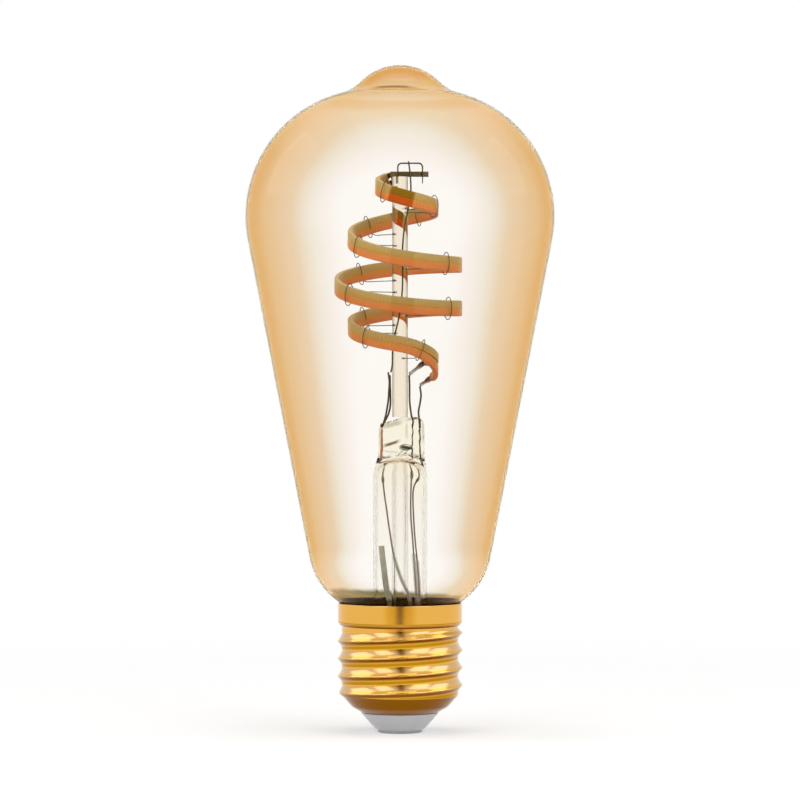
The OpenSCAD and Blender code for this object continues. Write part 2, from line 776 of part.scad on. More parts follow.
module centre_contact() {
    edge = 0.35;
    color([0.80, 0.78, 0.74])
        rotate_extrude()
            polygon(concat(
                [[0, 0], [contact_r - edge, 0]],
                arc([contact_r - edge, edge], edge, -90, 0, 4),
                [[contact_r, contact_t], [rivet_r, contact_t], [rivet_r, contact_t + 1.9],
                    [0, contact_t + 1.9]]
            ));
}

// Fills the space between the neck and the shell, and follows the glass up to the rim
module basing_cement() {
    outer = shell_bore - 0.1;
    rim = collar_r - shell_wall - 0.15;
    top = rim_z - 0.5;
    turn = neck_turn - 0.05;
    end = 180 - asin(min((top - neck_c[1]) / turn, 1));
    color([0.30, 0.29, 0.25])
        rotate_extrude()
            polygon(concat(
                [[neck_r + 0.05, neck_z + 0.6], [outer, neck_z + 0.6], [outer, collar_z + 0.6],
                    [rim, collar_z + 1.4], [rim, top]],
                arc(neck_c, turn, end, 180, 5)
            ));
}

// ---- Electronics in the cap ----

front_y = -board_t / 2;
back_y = board_t / 2;
green = [0.10, 0.36, 0.20];
black = [0.10, 0.10, 0.11];
tin = [0.72, 0.73, 0.74];

// A block on the board: x and z are its middle, y is where it sits and d says how far it stands out
module block(x, z, w, h, y, d) {
    translate([x - w / 2, min(y, y + d), z - h / 2])
        cube([w, abs(d), h]);
}

module driver_board() {
    color(green)
        translate([0, back_y, 0])
            rotate([90, 0, 0])
                linear_extrude(board_t)
                    polygon([
                        [-board_foot_w, board_z], [board_foot_w, board_z],
                        [board_foot_w, board_z + 3], [board_w, board_z + 4.5],
                        [board_w, board_top_z], [-board_w, board_top_z],
                        [-board_w, board_z + 4.5], [-board_foot_w, board_z + 3]
                    ]);
}

module driver_sleeve() {
    outer = shell_bore - 0.25;
    color([0.85, 0.75, 0.45])
        translate([0, 0, thread_low + 1.2])
            difference() {
                cylinder(r = outer, h = neck_z - stem_wall - thread_low - 1.4);
                translate([0, 0, -1])
                    cylinder(r = outer - 0.25, h = neck_z);
            }
}

module storage_capacitor() {
    y = front_y - 0.1 - capacitor_d / 2;
    x = 1.1 - board_w;
    z = 12;
    color(black)
        translate([x, y, z])
            rotate([0, 90, 0])
                rotate_extrude()
                    polygon([
                        [0, 0], [capacitor_d / 2 - 0.3, 0], [capacitor_d / 2, 0.3],
                        [capacitor_d / 2, capacitor_l - 1.2], [capacitor_d / 2 - 0.25, capacitor_l - 0.9],
                        [capacitor_d / 2, capacitor_l - 0.6], [capacitor_d / 2, capacitor_l - 0.2],
                        [capacitor_d / 2 - 0.2, capacitor_l], [0, capacitor_l]
                    ]);
}

module buck_inductor() {
    core_r = 2.7;
    color(black)
        translate([board_w - 6.1, front_y - seat, 12.2])
            rotate([90, 0, 0])
                rotate_extrude()
                    polygon([
                        [0, 0], [core_r, 0], [core_r, 0.8], [core_r - 0.6, 0.9],
                        [core_r - 0.6, 3.1], [core_r, 3.2], [core_r, 4], [0, 4]
                    ]);
}

module fuse_resistor() {
    color([0.30, 0.45, 0.55])
        translate([-5.2, front_y - 1.05, 7.2])
            rotate([0, 90, 0])
                rotate_extrude()
                    polygon([
                        [0, 0], [0.75, 0], [0.95, 0.3], [0.95, 0.9], [0.8, 1.2], [0.8, 3.2],
                        [0.95, 3.5], [0.95, 4.1], [0.75, 4.4], [0, 4.4]
                    ]);
}

module bridge_rectifier() {
    color(black)
        block(-2.9, 7.2, 4.4, 3, back_y + seat, 1.6);
    color(tin)
        for (x = [-4.5, -1.3], z = [5.65, 8.95])
            block(x, z, 0.6, 0.44, back_y + seat, 0.3);
}

module driver_chip() {
    color(black)
        block(3.2 - board_w, 13.4, 4.9, 3.2, back_y + 0.1, 1.4);
    color(tin)
        for (i = [0 : 3], z = [11.5, 15.3])
            block(1.3 - board_w + 1.27 * i, z, 0.4, 0.56, back_y + seat, 0.25);
}

module channel_transistors() {
    color(black)
        for (x = [2.2, 5.2])
            block(x, 7.4, 1.4, 2.2, back_y + seat, 1.1);
}

module radio_board() {
    color([0.08, 0.14, 0.30])
        block(board_w - 6.3, 12.6, 11, 6.8, back_y + seat, 0.8);
}

module radio_shield() {
    y = back_y + 0.8 + 2 * seat;
    color(tin)
        difference() {
            block(board_w - 5.2, 12.4, 7.6, 5.6, y, 1.7);
            block(board_w - 5.2, 12.4, 7.2, 5.2, y - 1, 2.5);
        }
}

module chip_resistors() {
    color(black)
        for (i = [0 : 4])
            block(1.2 + 1.25 * i, 6.6, 0.8, 1.6, front_y - seat, -0.5);
}

module chip_capacitors() {
    color([0.70, 0.58, 0.42])
        for (i = [0 : 3])
            block(1.5 - board_w + 1.9 * i, 15.5, 1.4, 0.8, front_y - seat, -0.8);
}

module live_wire() {
    color([0.70, 0.12, 0.10])
        wire(curve([[0, 0, contact_t + 2], [0, -0.1, contact_t + 2.6], [0.1, -0.8, 3.8],
            [-0.3, -1.6, 4.6], [-0.4, -1.5, 6], [0, -0.9, 7.6]], 3), 0.35);
}

module neutral_wire() {
    color([0.15, 0.20, 0.55])
        wire(curve([[board_w - 1.8, front_y - 0.4, 12], [board_w - 0.8, -1.3, 10.6],
            [board_w - 0.1, -2.3, 9], [board_w + 0.2, -2.6, 7.9], [board_w + 0.55, -2.9, 7.2]], 3), 0.35);
}

envelope();
stem_flare();
exhaust_tube();
centre_post();
for (i = [0 : len(hook_turns) - 1]) {
    support_hook(i);
}
top_bracket();
common_bar();
cool_filament();
warm_filament();
cool_start_tab();
warm_start_tab();
cool_end_tab();
warm_end_tab();
common_lead();
common_inner_lead();
cool_inner_lead();
warm_inner_lead();
common_seal_wire();
cool_seal_wire();
warm_seal_wire();
common_outer_lead();
cool_outer_lead();
warm_outer_lead();
common_sleeve();
cool_sleeve();
warm_sleeve();
antenna();
screw_shell();
cap_insulator();
centre_contact();
basing_cement();
driver_board();
driver_sleeve();
bridge_rectifier();
buck_inductor();
storage_capacitor();
driver_chip();
channel_transistors();
radio_board();
radio_shield();
fuse_resistor();
chip_resistors();
chip_capacitors();
live_wire();
neutral_wire();
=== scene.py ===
"""Looks of a smart filament lamp: gold-tinted blown glass, twin spiral filaments and a screw cap.

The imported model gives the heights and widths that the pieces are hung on. Each class finishes one
sub-assembly, and its fields hold the sizes of that sub-assembly in millimetres.
"""

import logging
import math
from dataclasses import astuple, dataclass, field
from enum import Enum
from functools import cache
from typing import Sequence

import bmesh
import bpy
import numpy as np
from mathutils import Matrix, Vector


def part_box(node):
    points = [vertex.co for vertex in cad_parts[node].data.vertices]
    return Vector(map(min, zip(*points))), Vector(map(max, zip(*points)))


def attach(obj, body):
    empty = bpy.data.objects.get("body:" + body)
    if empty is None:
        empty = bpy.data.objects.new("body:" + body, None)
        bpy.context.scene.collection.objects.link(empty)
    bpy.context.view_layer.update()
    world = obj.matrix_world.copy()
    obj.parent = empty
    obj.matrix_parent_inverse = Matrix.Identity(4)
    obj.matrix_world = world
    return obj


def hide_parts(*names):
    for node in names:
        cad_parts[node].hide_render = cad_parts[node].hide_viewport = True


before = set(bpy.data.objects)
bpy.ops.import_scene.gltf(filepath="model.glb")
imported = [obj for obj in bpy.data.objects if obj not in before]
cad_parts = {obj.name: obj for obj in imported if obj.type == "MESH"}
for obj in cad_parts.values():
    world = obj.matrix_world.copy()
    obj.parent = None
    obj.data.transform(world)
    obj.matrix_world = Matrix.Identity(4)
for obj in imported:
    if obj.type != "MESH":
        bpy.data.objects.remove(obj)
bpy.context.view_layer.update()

MM = 0.001
ROOT_BODY = "root"
BUMP_DEPTH = 0.0001
WIRE_END = 0.6
NEARLY_ALONG = 0.8
WHITE = (1.0, 1.0, 1.0)
# The strip's painted layers: its length, its side, and the painted shade where it crosses the rod.
STRIP_LAYERS = ("strip_length", "strip_side", "strip_dense")
LOG = logging.getLogger("lamp")

Array = np.ndarray
Colour = tuple[float, float, float]
Stops = tuple[tuple[float, Colour], ...]
Levels = tuple[tuple[float, float], ...]
Sockets = dict[str, bpy.types.NodeSocket]


# ---- Curves and sections ----


def unit(vector: Array) -> Array:
    """Returns the vector at length one."""
    return vector / np.linalg.norm(vector)


def headings_along(path: Array) -> Array:
    """Returns the direction in which a path runs at each of its points."""
    steps = np.gradient(path, axis=0)
    return steps / np.linalg.norm(steps, axis=1)[:, None]


def ease(t: float) -> float:
    """Returns a smooth step from 0 to 1 as t goes from 0 to 1."""
    s = min(max(t, 0.0), 1.0)
    return s * s * (3 - 2 * s)


def sine(degrees: float) -> float:
    """Returns the sine of an angle in degrees."""
    return math.sin(math.radians(degrees))


def cosine(degrees: float) -> float:
    """Returns the cosine of an angle in degrees."""
    return math.cos(math.radians(degrees))


def angle_to(vector: Array) -> float:
    """Returns the angle of a flat vector in degrees."""
    return math.degrees(math.atan2(vector[1], vector[0]))


def arc(centre: Array, radius: float, start: float, end: float, steps: int) -> list[Array]:
    """Draws an arc.

    Args:
        centre: Its centre, as (radius, height).
        radius: Its radius.
        start: The angle it starts at, in degrees.
        end: The angle it ends at.
        steps: How many straight steps it has.

    Returns:
        Its points from start to end.
    """
    angles = np.linspace(start, end, steps + 1)
    return [centre + radius * np.array([cosine(a), sine(a)]) for a in angles]


def meeting(p: Array, q: Array, from_p: float, from_q: float) -> Array:
    """Finds the point at two distances from two others.

    Args:
        p: The first point.
        q: The second point.
        from_p: The distance from p.
        from_q: The distance from q.

    Returns:
        The point on the outer side of the line from p to q.
    """
    d = np.linalg.norm(q - p)
    u = (q - p) / d
    k = (from_p**2 - from_q**2 + d**2) / (2 * d)
    return p + k * u + math.sqrt(from_p**2 - k**2) * np.array([-u[1], u[0]])


def route_point(points: Array, i: int, t: float) -> Array:
    """Reads a smooth route between two of its points.

    Args:
        points: The route's own points.
        i: The stretch, from point i to the next.
        t: How far along the stretch, from 0 to 1.

    Returns:
        The place on the curve.
    """
    last = len(points) - 1
    a, b, c, d = points[max(i - 1, 0)], points[i], points[i + 1], points[min(i + 2, last)]
    bend, twist = 2 * a - 5 * b + 4 * c - d, 3 * b - a - 3 * c + d
    return 0.5 * (2 * b + (c - a) * t + bend * t**2 + twist * t**3)


def smooth_route(points: Sequence[Sequence[float]], steps: int = 8) -> Array:
    """Runs a smooth curve through points.

    Args:
        points: The places that the wire passes through.
        steps: How many steps each stretch gets.

    Returns:
        The points of the curve.
    """
    own = np.array(points, float)
    places = [route_point(own, i, k / steps) for i in range(len(own) - 1) for k in range(steps)]
    return np.array([*places, own[-1]])


def carried_frames(path: Array) -> tuple[Array, Array]:
    """Carries two square directions along a path without twist.

    Args:
        path: The points of the path.

    Returns:
        The two directions at each point.
    """
    headings = headings_along(path)
    along_y = abs(headings[0][1]) >= NEARLY_ALONG
    side = np.array([1.0, 0.0, 0.0]) if along_y else np.array([0.0, 1.0, 0.0])
    first = unit(np.cross(headings[0], side))
    firsts, seconds = [], []
    for heading in headings:
        first = unit(first - (first @ heading) * heading)
        firsts.append(first)
        seconds.append(np.cross(heading, first))
    return np.array(firsts), np.array(seconds)


def flat_frames(path: Array, flat: Array) -> tuple[Array, Array]:
    """Lays two square directions along a path, the first as near to a given one as it can be.

    Args:
        path: The points of the path.
        flat: The direction that the first one keeps to.

    Returns:
        The two directions at each point.
    """
    headings = headings_along(path)
    across = np.array([unit(flat - (flat @ h) * h) for h in headings])
    return across, np.cross(headings, across)


def ring_angles(sides: int) -> Array:
    """Returns the directions of a ring's points, in radians."""
    return np.arange(sides) * 2 * math.pi / sides


def round_section(sides: int) -> Array:
    """Returns the points of a unit circle."""
    angles = ring_angles(sides)
    return np.stack([np.cos(angles), np.sin(angles)], axis=1)


def soft_section(sides: int, squareness: float) -> Array:
    """Draws a rounded square of half width one.

    Args:
        sides: How many points it has.
        squareness: 2 gives a circle, and more gives flatter sides.

    Returns:
        Its points, starting half a step off the first axis.
    """
    angles = (np.arange(sides) + 0.5) * 2 * math.pi / sides
    flat = [np.sign(f(angles)) * np.abs(f(angles)) ** (2 / squareness) for f in (np.cos, np.sin)]
    return np.stack(flat, axis=1)


def swept(path: Array, section: Array, radii: Array,
          frames: tuple[Array, Array] | None = None) -> Array:
    """Sweeps a section along a path.

    Args:
        path: The points of the path.
        section: The section's points, of half width one.
        radii: The half widths along the two directions, for each point of the path.
        frames: The two directions at each point, or None to carry them without twist.

    Returns:
        One ring of points for each point of the path.
    """
    first, second = frames or carried_frames(path)
    across = section[None, :, 0, None] * radii[:, None, None, 0] * first[:, None, :]
    down = section[None, :, 1, None] * radii[:, None, None, 1] * second[:, None, :]
    return path[:, None, :] + across + down


def wire_rings(path: Array, radii: float | Array, sides: int = 12) -> Array:
    """Sweeps a round wire with softened ends.

    Args:
        path: The points of the wire's middle.
        radii: Its radius, or one for each point.
        sides: How many sides it has.

    Returns:
        Its rings.
    """
    full = np.broadcast_to(np.asarray(radii, float), (len(path),)).copy()
    full[[0, -1]] *= WIRE_END
    return swept(path, round_section(sides), np.stack([full, full], axis=1))


def turned(outline: Sequence[Array], segments: int) -> Array:
    """Turns an outline about the lamp's axis.

    Args:
        outline: The outline's points, as (radius, height).
        segments: How many segments the turn has.

    Returns:
        One ring of points for each point of the outline.
    """
    circle = round_section(segments)
    return np.array([np.column_stack([q[0] * circle, np.full(segments, q[1])]) for q in outline])


# ---- Materials ----


class Effect(Enum):
    """Surface effects that several finishes share."""

    GRAIN = "fine_grain"
    DRAWN = "drawn_lines"
    MARKS = "handling_marks"
    # Marks of painted shade, amber spots and pinch streaks on the glass.
    SHADE_AND_TINT_MARK = "pinch_mark"


@dataclass
class NodeBoard:
    """Places and joins the nodes of one material, surround or shared effect."""

    tree: bpy.types.NodeTree

    @classmethod
    def cleared(cls, owner: bpy.types.Material | bpy.types.World) -> "NodeBoard":
        """Opens the board of a new material or surround.

        Args:
            owner: The material or the surround.

        Returns:
            Its board, with no nodes on it.
        """
        owner.use_nodes = True
        owner.node_tree.nodes.clear()
        return cls(owner.node_tree)

    def add(self, kind: str, **values: object) -> bpy.types.Node:
        """Adds a node.

        Args:
            kind: The node's type.
            values: Its settings by property name, or its input sockets by name with _ for a space.

        Returns:
            The node.
        """
        node = self.tree.nodes.new(kind)
        sockets = {s.name.replace(" ", "_"): s for s in reversed(node.inputs)}
        for name, value in values.items():
            if name in sockets:
                self.feed(sockets[name], value)
            else:
                setattr(node, name, value)
        return node

    def feed(self, socket: bpy.types.NodeSocket, value: object) -> None:
        """Links another socket to this one, or sets its plain value.

        Args:
            socket: The socket that is fed.
            value: The other socket, a number or a colour.
        """
        if isinstance(value, bpy.types.NodeSocket):
            self.tree.links.new(value, socket)
        elif socket.type == "RGBA":
            socket.default_value = (*value, 1.0)
        else:
            socket.default_value = value

    def join(self, kind: str, *values: object, **settings: object) -> bpy.types.NodeSocket:
        """Adds a node and feeds its sockets in their order.

        Args:
            kind: The node's type.
            values: What its sockets take, from the first on.
            settings: Its settings by property name.

        Returns:
            Its first output.
        """
        node = self.add(kind, **settings)
        for socket, value in zip(node.inputs, values):
            self.feed(socket, value)
        return node.outputs[0]

    def maths(self, operation: str, a: object, b: object = 0.0) -> bpy.types.NodeSocket:
        """Returns the result of a sum on two values."""
        return self.join("ShaderNodeMath", a, b, operation=operation)

    def mix(self, share: object, first: object, second: object) -> bpy.types.NodeSocket:
        """Mixes two shaders, with a share of the second."""
        return self.join("ShaderNodeMixShader", share, first, second)

    def blend(self, share: object, a: object, b: object, kind: str = "MIX") -> bpy.types.NodeSocket:
        """Mixes two colours.

        Args:
            share: How much of the second colour shows.
            a: The first colour.
            b: The second colour.
            kind: How they mix.

        Returns:
            The mixed colour.
        """
        node = self.add("ShaderNodeMix", data_type="RGBA", blend_type=kind)
        for index, value in ((0, share), (6, a), (7, b)):
            self.feed(node.inputs[index], value)
        return node.outputs[2]

    def ramp(self, value: object, stops: Stops) -> bpy.types.NodeSocket:
        """Turns a value into a colour.

        Args:
            value: The value, from 0 to 1.
            stops: Places on the way from 0 to 1, with their colours.

        Returns:
            The colour.
        """
        node = self.add("ShaderNodeValToRGB", Fac=value)
        elements = node.color_ramp.elements
        while len(elements) < len(stops):
            elements.new(1.0)
        for element, (place, colour) in zip(elements, stops):
            element.position = place
            element.color = (*colour, 1.0)
        return node.outputs[0]

    def mask(self, value: object, stops: Levels) -> bpy.types.NodeSocket:
        """Turns a value from 0 to 1 into another, through places on the way with their levels."""
        return self.ramp(value, tuple((place, (level, level, level)) for place, level in stops))

    def spread(self, value: object, low: float, high: float) -> bpy.types.NodeSocket:
        """Stretches a value from 0 to 1 so that it goes from low to high."""
        return self.add("ShaderNodeMapRange", Value=value, To_Min=low, To_Max=high).outputs[0]

    def easing(self, value: object, first: float, last: float, top: float = 1.0) -> bpy.types.NodeSocket:
        """Rises smoothly from 0 to a top level as a value goes from first to last."""
        return self.add("ShaderNodeMapRange", Value=value, interpolation_type="SMOOTHSTEP", From_Min=first,
                        From_Max=last, To_Max=top).outputs[0]

    def place(self, stretch: Sequence[float] = (1.0, 1.0, 1.0)) -> bpy.types.NodeSocket:
        """Returns places on the object, in metres, stretched along its axes."""
        where = self.add("ShaderNodeTexCoord").outputs["Object"]
        return self.add("ShaderNodeMapping", Vector=where, Scale=tuple(stretch)).outputs[0]

    def axes(self, vector: bpy.types.NodeSocket) -> Sequence[bpy.types.NodeSocket]:
        """Returns the three parts of a vector."""
        return self.add("ShaderNodeSeparateXYZ", Vector=vector).outputs

    def noise(self, where: object, cells_per_m: object, **values: float) -> bpy.types.NodeSocket:
        """Returns a cloudy value from 0 to 1."""
        return self.add("ShaderNodeTexNoise", Vector=where, Scale=cells_per_m, **values).outputs[0]

    def facing(self) -> bpy.types.NodeSocket:
        """Returns how far the surface turns away, from 0 to 1."""
        return self.add("ShaderNodeLayerWeight", Blend=0.5).outputs["Facing"]

    def bump(self, effect: bpy.types.Node, strength: float) -> bpy.types.NodeSocket:
        """Returns the normal of a surface that a shared effect roughens."""
        height = effect.outputs["Height"]
        return self.add("ShaderNodeBump", Strength=strength, Distance=BUMP_DEPTH, Height=height).outputs[0]

    def principled(self, **values: object) -> bpy.types.NodeSocket:
        """Returns a Principled shader with these sockets."""
        return self.add("ShaderNodeBsdfPrincipled", **values).outputs[0]

    def effect(self, kind: Effect, **values: object) -> bpy.types.Node:
        """Places a shared effect.

        Args:
            kind: Which effect it is.
            values: Its inputs by name, with _ for a space.

        Returns:
            Its node.
        """
        node = self.add("ShaderNodeGroup", node_tree=shared_effect(kind))
        for name, value in values.items():
            self.feed(node.inputs[name.replace("_", " ")], value)
        return node


def open_group(kind: Effect, inputs: dict[str, float],
               outputs: Sequence[str]) -> tuple[NodeBoard, Sockets, Sockets]:
    """Starts a shared effect.

    Args:
        kind: Which effect it is.
        inputs: Its value inputs, with what they are when left alone.
        outputs: Its value outputs.

    Returns:
        Its board, its inputs by name, and its outputs by name.
    """
    tree = bpy.data.node_groups.new(kind.value, "ShaderNodeTree")
    for name, value in inputs.items():
        socket = tree.interface.new_socket(name, in_out="INPUT", socket_type="NodeSocketFloat")
        socket.default_value = value
    for name in outputs:
        tree.interface.new_socket(name, in_out="OUTPUT", socket_type="NodeSocketFloat")
    board = NodeBoard(tree)
    entry, exit_ = board.add("NodeGroupInput"), board.add("NodeGroupOutput")
    return board, {n: entry.outputs[n] for n in inputs}, {n: exit_.inputs[n] for n in outputs}


def shared_effect(kind: Effect) -> bpy.types.NodeTree:
    """Finds a shared effect, or builds it the first time.

    Args:
        kind: Which effect is wanted.

    Returns:
        Its node group.
    """
    if kind.value in bpy.data.node_groups:
        return bpy.data.node_groups[kind.value]
    builders = {Effect.GRAIN: build_grain, Effect.DRAWN: build_drawn, Effect.MARKS: build_marks,
                Effect.SHADE_AND_TINT_MARK: build_shade_and_tint_mark}
    return builders[kind]()


def build_grain() -> bpy.types.NodeTree:
    """Builds the fine speckle of fired, cast or moulded surfaces.

    Returns:
        The node group, with a height and a mask from 0 to 1.
    """
    sizes, coarse_share = {"Grains per mm": 4.0, "Contrast": 1.0}, 0.22
    board, given, wanted = open_group(Effect.GRAIN, sizes, ("Height", "Mask"))
    scale = board.maths("MULTIPLY", given["Grains per mm"], 1 / MM)
    fine = board.noise(board.place(), scale, Detail=3.0, Roughness=0.6)
    coarse = board.noise(board.place(), board.maths("MULTIPLY", scale, coarse_share), Detail=2.0)
    both = board.maths("MULTIPLY", board.maths("ADD", fine, coarse), 0.5)
    centred = board.maths("MULTIPLY", board.maths("SUBTRACT", both, 0.5), given["Contrast"])
    board.feed(wanted["Height"], fine)
    board.feed(wanted["Mask"], board.join("ShaderNodeClamp", board.maths("ADD", centred, 0.5)))
    return board.tree


def build_drawn() -> bpy.types.NodeTree:
    """Builds the fine lines that rolling or drawing leaves round a metal part.

    Returns:
        The node group, with a height and a mask from 0 to 1.
    """
    board, given, wanted = open_group(Effect.DRAWN, {"Lines per mm": 6.0}, ("Height", "Mask"))
    scale = board.maths("MULTIPLY", given["Lines per mm"], 1 / MM)
    long_way_round, patches_per_m = (0.04, 0.04, 1.0), 160.0
    lines = board.noise(board.place(long_way_round), scale, Detail=2.0)
    patches = board.noise(board.place(), patches_per_m, Detail=2.0)
    board.feed(wanted["Height"], lines)
    board.feed(wanted["Mask"], board.maths("MULTIPLY", lines, patches))
    return board.tree


def build_marks() -> bpy.types.NodeTree:
    """Builds the faint cloudiness that handling and heat leave on glass and polished metal.

    Returns:
        The node group, with a mask from 0 to 1 that is mostly 0.
    """
    board, given, wanted = open_group(Effect.MARKS, {"Marks per mm": 0.08, "Share": 0.4}, ("Mask",))
    scale = board.maths("MULTIPLY", given["Marks per mm"], 1 / MM)
    cloud = board.noise(board.place(), scale, Detail=4.0, Distortion=0.6)
    edge = board.maths("SUBTRACT", 1.0, given["Share"])
    above = board.maths("DIVIDE", board.maths("SUBTRACT", cloud, edge), given["Share"])
    board.feed(wanted["Mask"], board.join("ShaderNodeClamp", above))
    return board.tree


def build_shade_and_tint_mark() -> bpy.types.NodeTree:
    """Builds one short mark across the front of the glass, mostly painted shade where the glass looks dark,
    with some amber spots and pinch streaks.

    Returns:
        The node group, with a mask from 0 to 1. Its sizes are in millimetres.
    """
    names = ("X", "Z", "Half length", "Half height", "Bow", "Lean")
    board, given, wanted = open_group(Effect.SHADE_AND_TINT_MARK, dict.fromkeys(names, 1.0), ("Mask",))
    x, y, z = board.axes(board.place((1 / MM, 1 / MM, 1 / MM)))
    aside = board.maths("SUBTRACT", x, given["X"])
    bow = board.maths("MULTIPLY", board.maths("POWER", aside, 2.0), given["Bow"])
    lift = board.maths("SUBTRACT", board.maths("MULTIPLY", aside, given["Lean"]), bow)
    above = board.maths("SUBTRACT", board.maths("SUBTRACT", z, given["Z"]), lift)
    shares = [
        board.easing(board.maths("DIVIDE", board.maths("ABSOLUTE", off), given[half]), 1.0, 0.35)
        for off, half in ((aside, "Half length"), (above, "Half height"))
    ]
    front = board.maths("LESS_THAN", y, 0.0)
    board.feed(wanted["Mask"], board.maths("MULTIPLY", board.maths("MULTIPLY", *shares), front))
    return board.tree


@dataclass(frozen=True)
class Finish:
    """A finish that any number of pieces can share."""

    name: str

    @cache
    def material(self) -> bpy.types.Material:
        """Builds the finish's material the first time, and finds it after that.

        Returns:
            The material.
        """
        made = bpy.data.materials.new(self.name)
        board = NodeBoard.cleared(made)
        board.add("ShaderNodeOutputMaterial", Surface=self.shader(board))
        return made

    def shader(self, board: NodeBoard) -> bpy.types.NodeSocket:
        """Builds the finish's shader and returns its output."""
        raise NotImplementedError


@dataclass(frozen=True)
class ShadeAndTintMark:
    """A short mark painted across the front of the glass, in millimetres: mostly painted shade where the
    glass looks dark, with some amber spots and pinch streaks.
    """

    x: float
    z: float
    half_l: float
    half_h: float
    bow: float
    lean: float
    colour: Colour


@dataclass(frozen=True)
class FootShade:
    """Painted shade on the foot of the glass, standing for the dark inside of the cap seen through it, in
    millimetres. Its upper edge is uneven.
    """

    top: float
    lean: float = 0.05
    colour: Colour = (0.20, 0.165, 0.07)
    wander: float = 1.2
    cells_per_m: float = 220.0
    fade: tuple[float, float] = (0.4, -0.6)
    turned_away: tuple[float, float] = (0.58, 0.36)

    def over(self, board: NodeBoard, tint: object, facing: object) -> bpy.types.NodeSocket:
        """Lays the painted shade over the glass's tint.

        Args:
            board: The material's board.
            tint: The glass's tint.
            facing: How far the surface turns away.

        Returns:
            The tint, darkened by the painted shade.
        """
        place = board.place()
        wander = board.maths("MULTIPLY", board.noise(place, self.cells_per_m, Detail=3.0), self.wander)
        x, _, z = board.axes(place)
        height = board.maths("DIVIDE", board.maths("ADD", z, board.maths("MULTIPLY", x, self.lean)), MM)
        uneven = board.maths("SUBTRACT", board.maths("ADD", height, wander), self.wander / 2)
        low = board.easing(uneven, *(self.top + step for step in self.fade))
        share = board.maths("MULTIPLY", low, board.easing(facing, *self.turned_away))
        return board.blend(share, tint, self.colour)


@dataclass(frozen=True)
class Glass(Finish):
    """Clear or coated glass, with weak reflections, through which lamps shine."""

    tints: Stops = ((0.0, (1.0, 1.0, 1.0)), (1.0, (0.5, 0.5, 0.5)))
    lamp_tint: Colour = (0.97, 0.95, 0.92)
    ior: float = 1.46
    cloud: float = 0.03
    cloud_colour: Colour = (0.85, 0.75, 0.6)
    cloud_share: float = 0.45
    mirror: float = 0.3
    mirror_front: float = 0.06
    mirror_where: tuple[float, float, float, float] = (0.15, 0.5, 0.86, 0.97)
    edge_dark: float = 0.0
    edge_soft: float = 0.03
    coat_by_height: Levels = ()
    coat_middle: float = 0.5
    wash: Stops = ()
    span: float = 0.138
    shade_and_tint_marks: tuple[ShadeAndTintMark, ...] = ()
    foot_shade: FootShade | None = None

    def tinted(self, board: NodeBoard, facing: object) -> bpy.types.NodeSocket:
        """Colours the glass, more deeply towards its rim and where its coat is thick.

        Args:
            board: The material's board.
            facing: How far the surface turns away.

        Returns:
            The glass's tint, with its clouds, the painted shade on its foot and its marks of painted shade
            and tint.
        """
        depth = facing
        if self.coat_by_height or self.wash:
            height = board.axes(board.place((1 / self.span,) * 3))[2]
        if self.coat_by_height:
            level = board.mask(height, self.coat_by_height)
            depth = board.maths("SUBTRACT", board.maths("ADD", facing, level), self.coat_middle)
        tint = board.ramp(depth, self.tints)
        if self.wash:
            tint = board.blend(1.0, tint, board.ramp(height, self.wash), "MULTIPLY")
        marks = board.effect(Effect.MARKS, Share=self.cloud_share).outputs["Mask"]
        tint = board.blend(board.maths("MULTIPLY", marks, self.cloud), tint, self.cloud_colour, "MULTIPLY")
        # Painted shade on the foot, where the dark inside of the cap shows through.
        if self.foot_shade:
            tint = self.foot_shade.over(board, tint, facing)
        # Marks of painted shade where the glass looks dark, with some amber spots and pinch streaks.
        for c in self.shade_and_tint_marks:
            mark = board.effect(Effect.SHADE_AND_TINT_MARK, X=c.x, Z=c.z, Half_length=c.half_l, Half_height=c.half_h,
                                Bow=c.bow, Lean=c.lean)
            tint = board.blend(mark.outputs["Mask"], tint, c.colour)
        return tint

    def shader(self, board: NodeBoard) -> bpy.types.NodeSocket:
        """Builds glass that bends light, mirrors it weakly and lets the lamps' light in.

        Args:
            board: The material's board.

        Returns:
            The shader's output.
        """
        facing = board.facing()
        tint = self.tinted(board, facing)
        plain = board.principled(Base_Color=tint, Roughness=0.0, IOR=self.ior, Transmission_Weight=1.0)
        root = board.add("ShaderNodeGamma", Color=tint, Gamma=0.5).outputs[0]
        bent = board.add("ShaderNodeBsdfRefraction", Color=root, Roughness=0.0, IOR=self.ior).outputs[0]
        turn = 1 - math.sqrt(1 - 1 / self.ior**2)
        edge = board.easing(facing, turn - self.edge_soft, turn, (1 - self.mirror) * (1 - self.edge_dark))
        inner = board.add("ShaderNodeNewGeometry").outputs["Backfacing"]
        levels = (self.mirror_front, self.mirror, self.mirror, 1.0)
        shine = board.mask(facing, tuple(zip(self.mirror_where, levels)))
        body = board.mix(board.maths("ADD", board.maths("MULTIPLY", edge, inner), shine), bent, plain)
        through = board.add("ShaderNodeBsdfTransparent", Color=self.lamp_tint).outputs[0]
        return board.mix(board.add("ShaderNodeLightPath").outputs["Is Shadow Ray"], body, through)


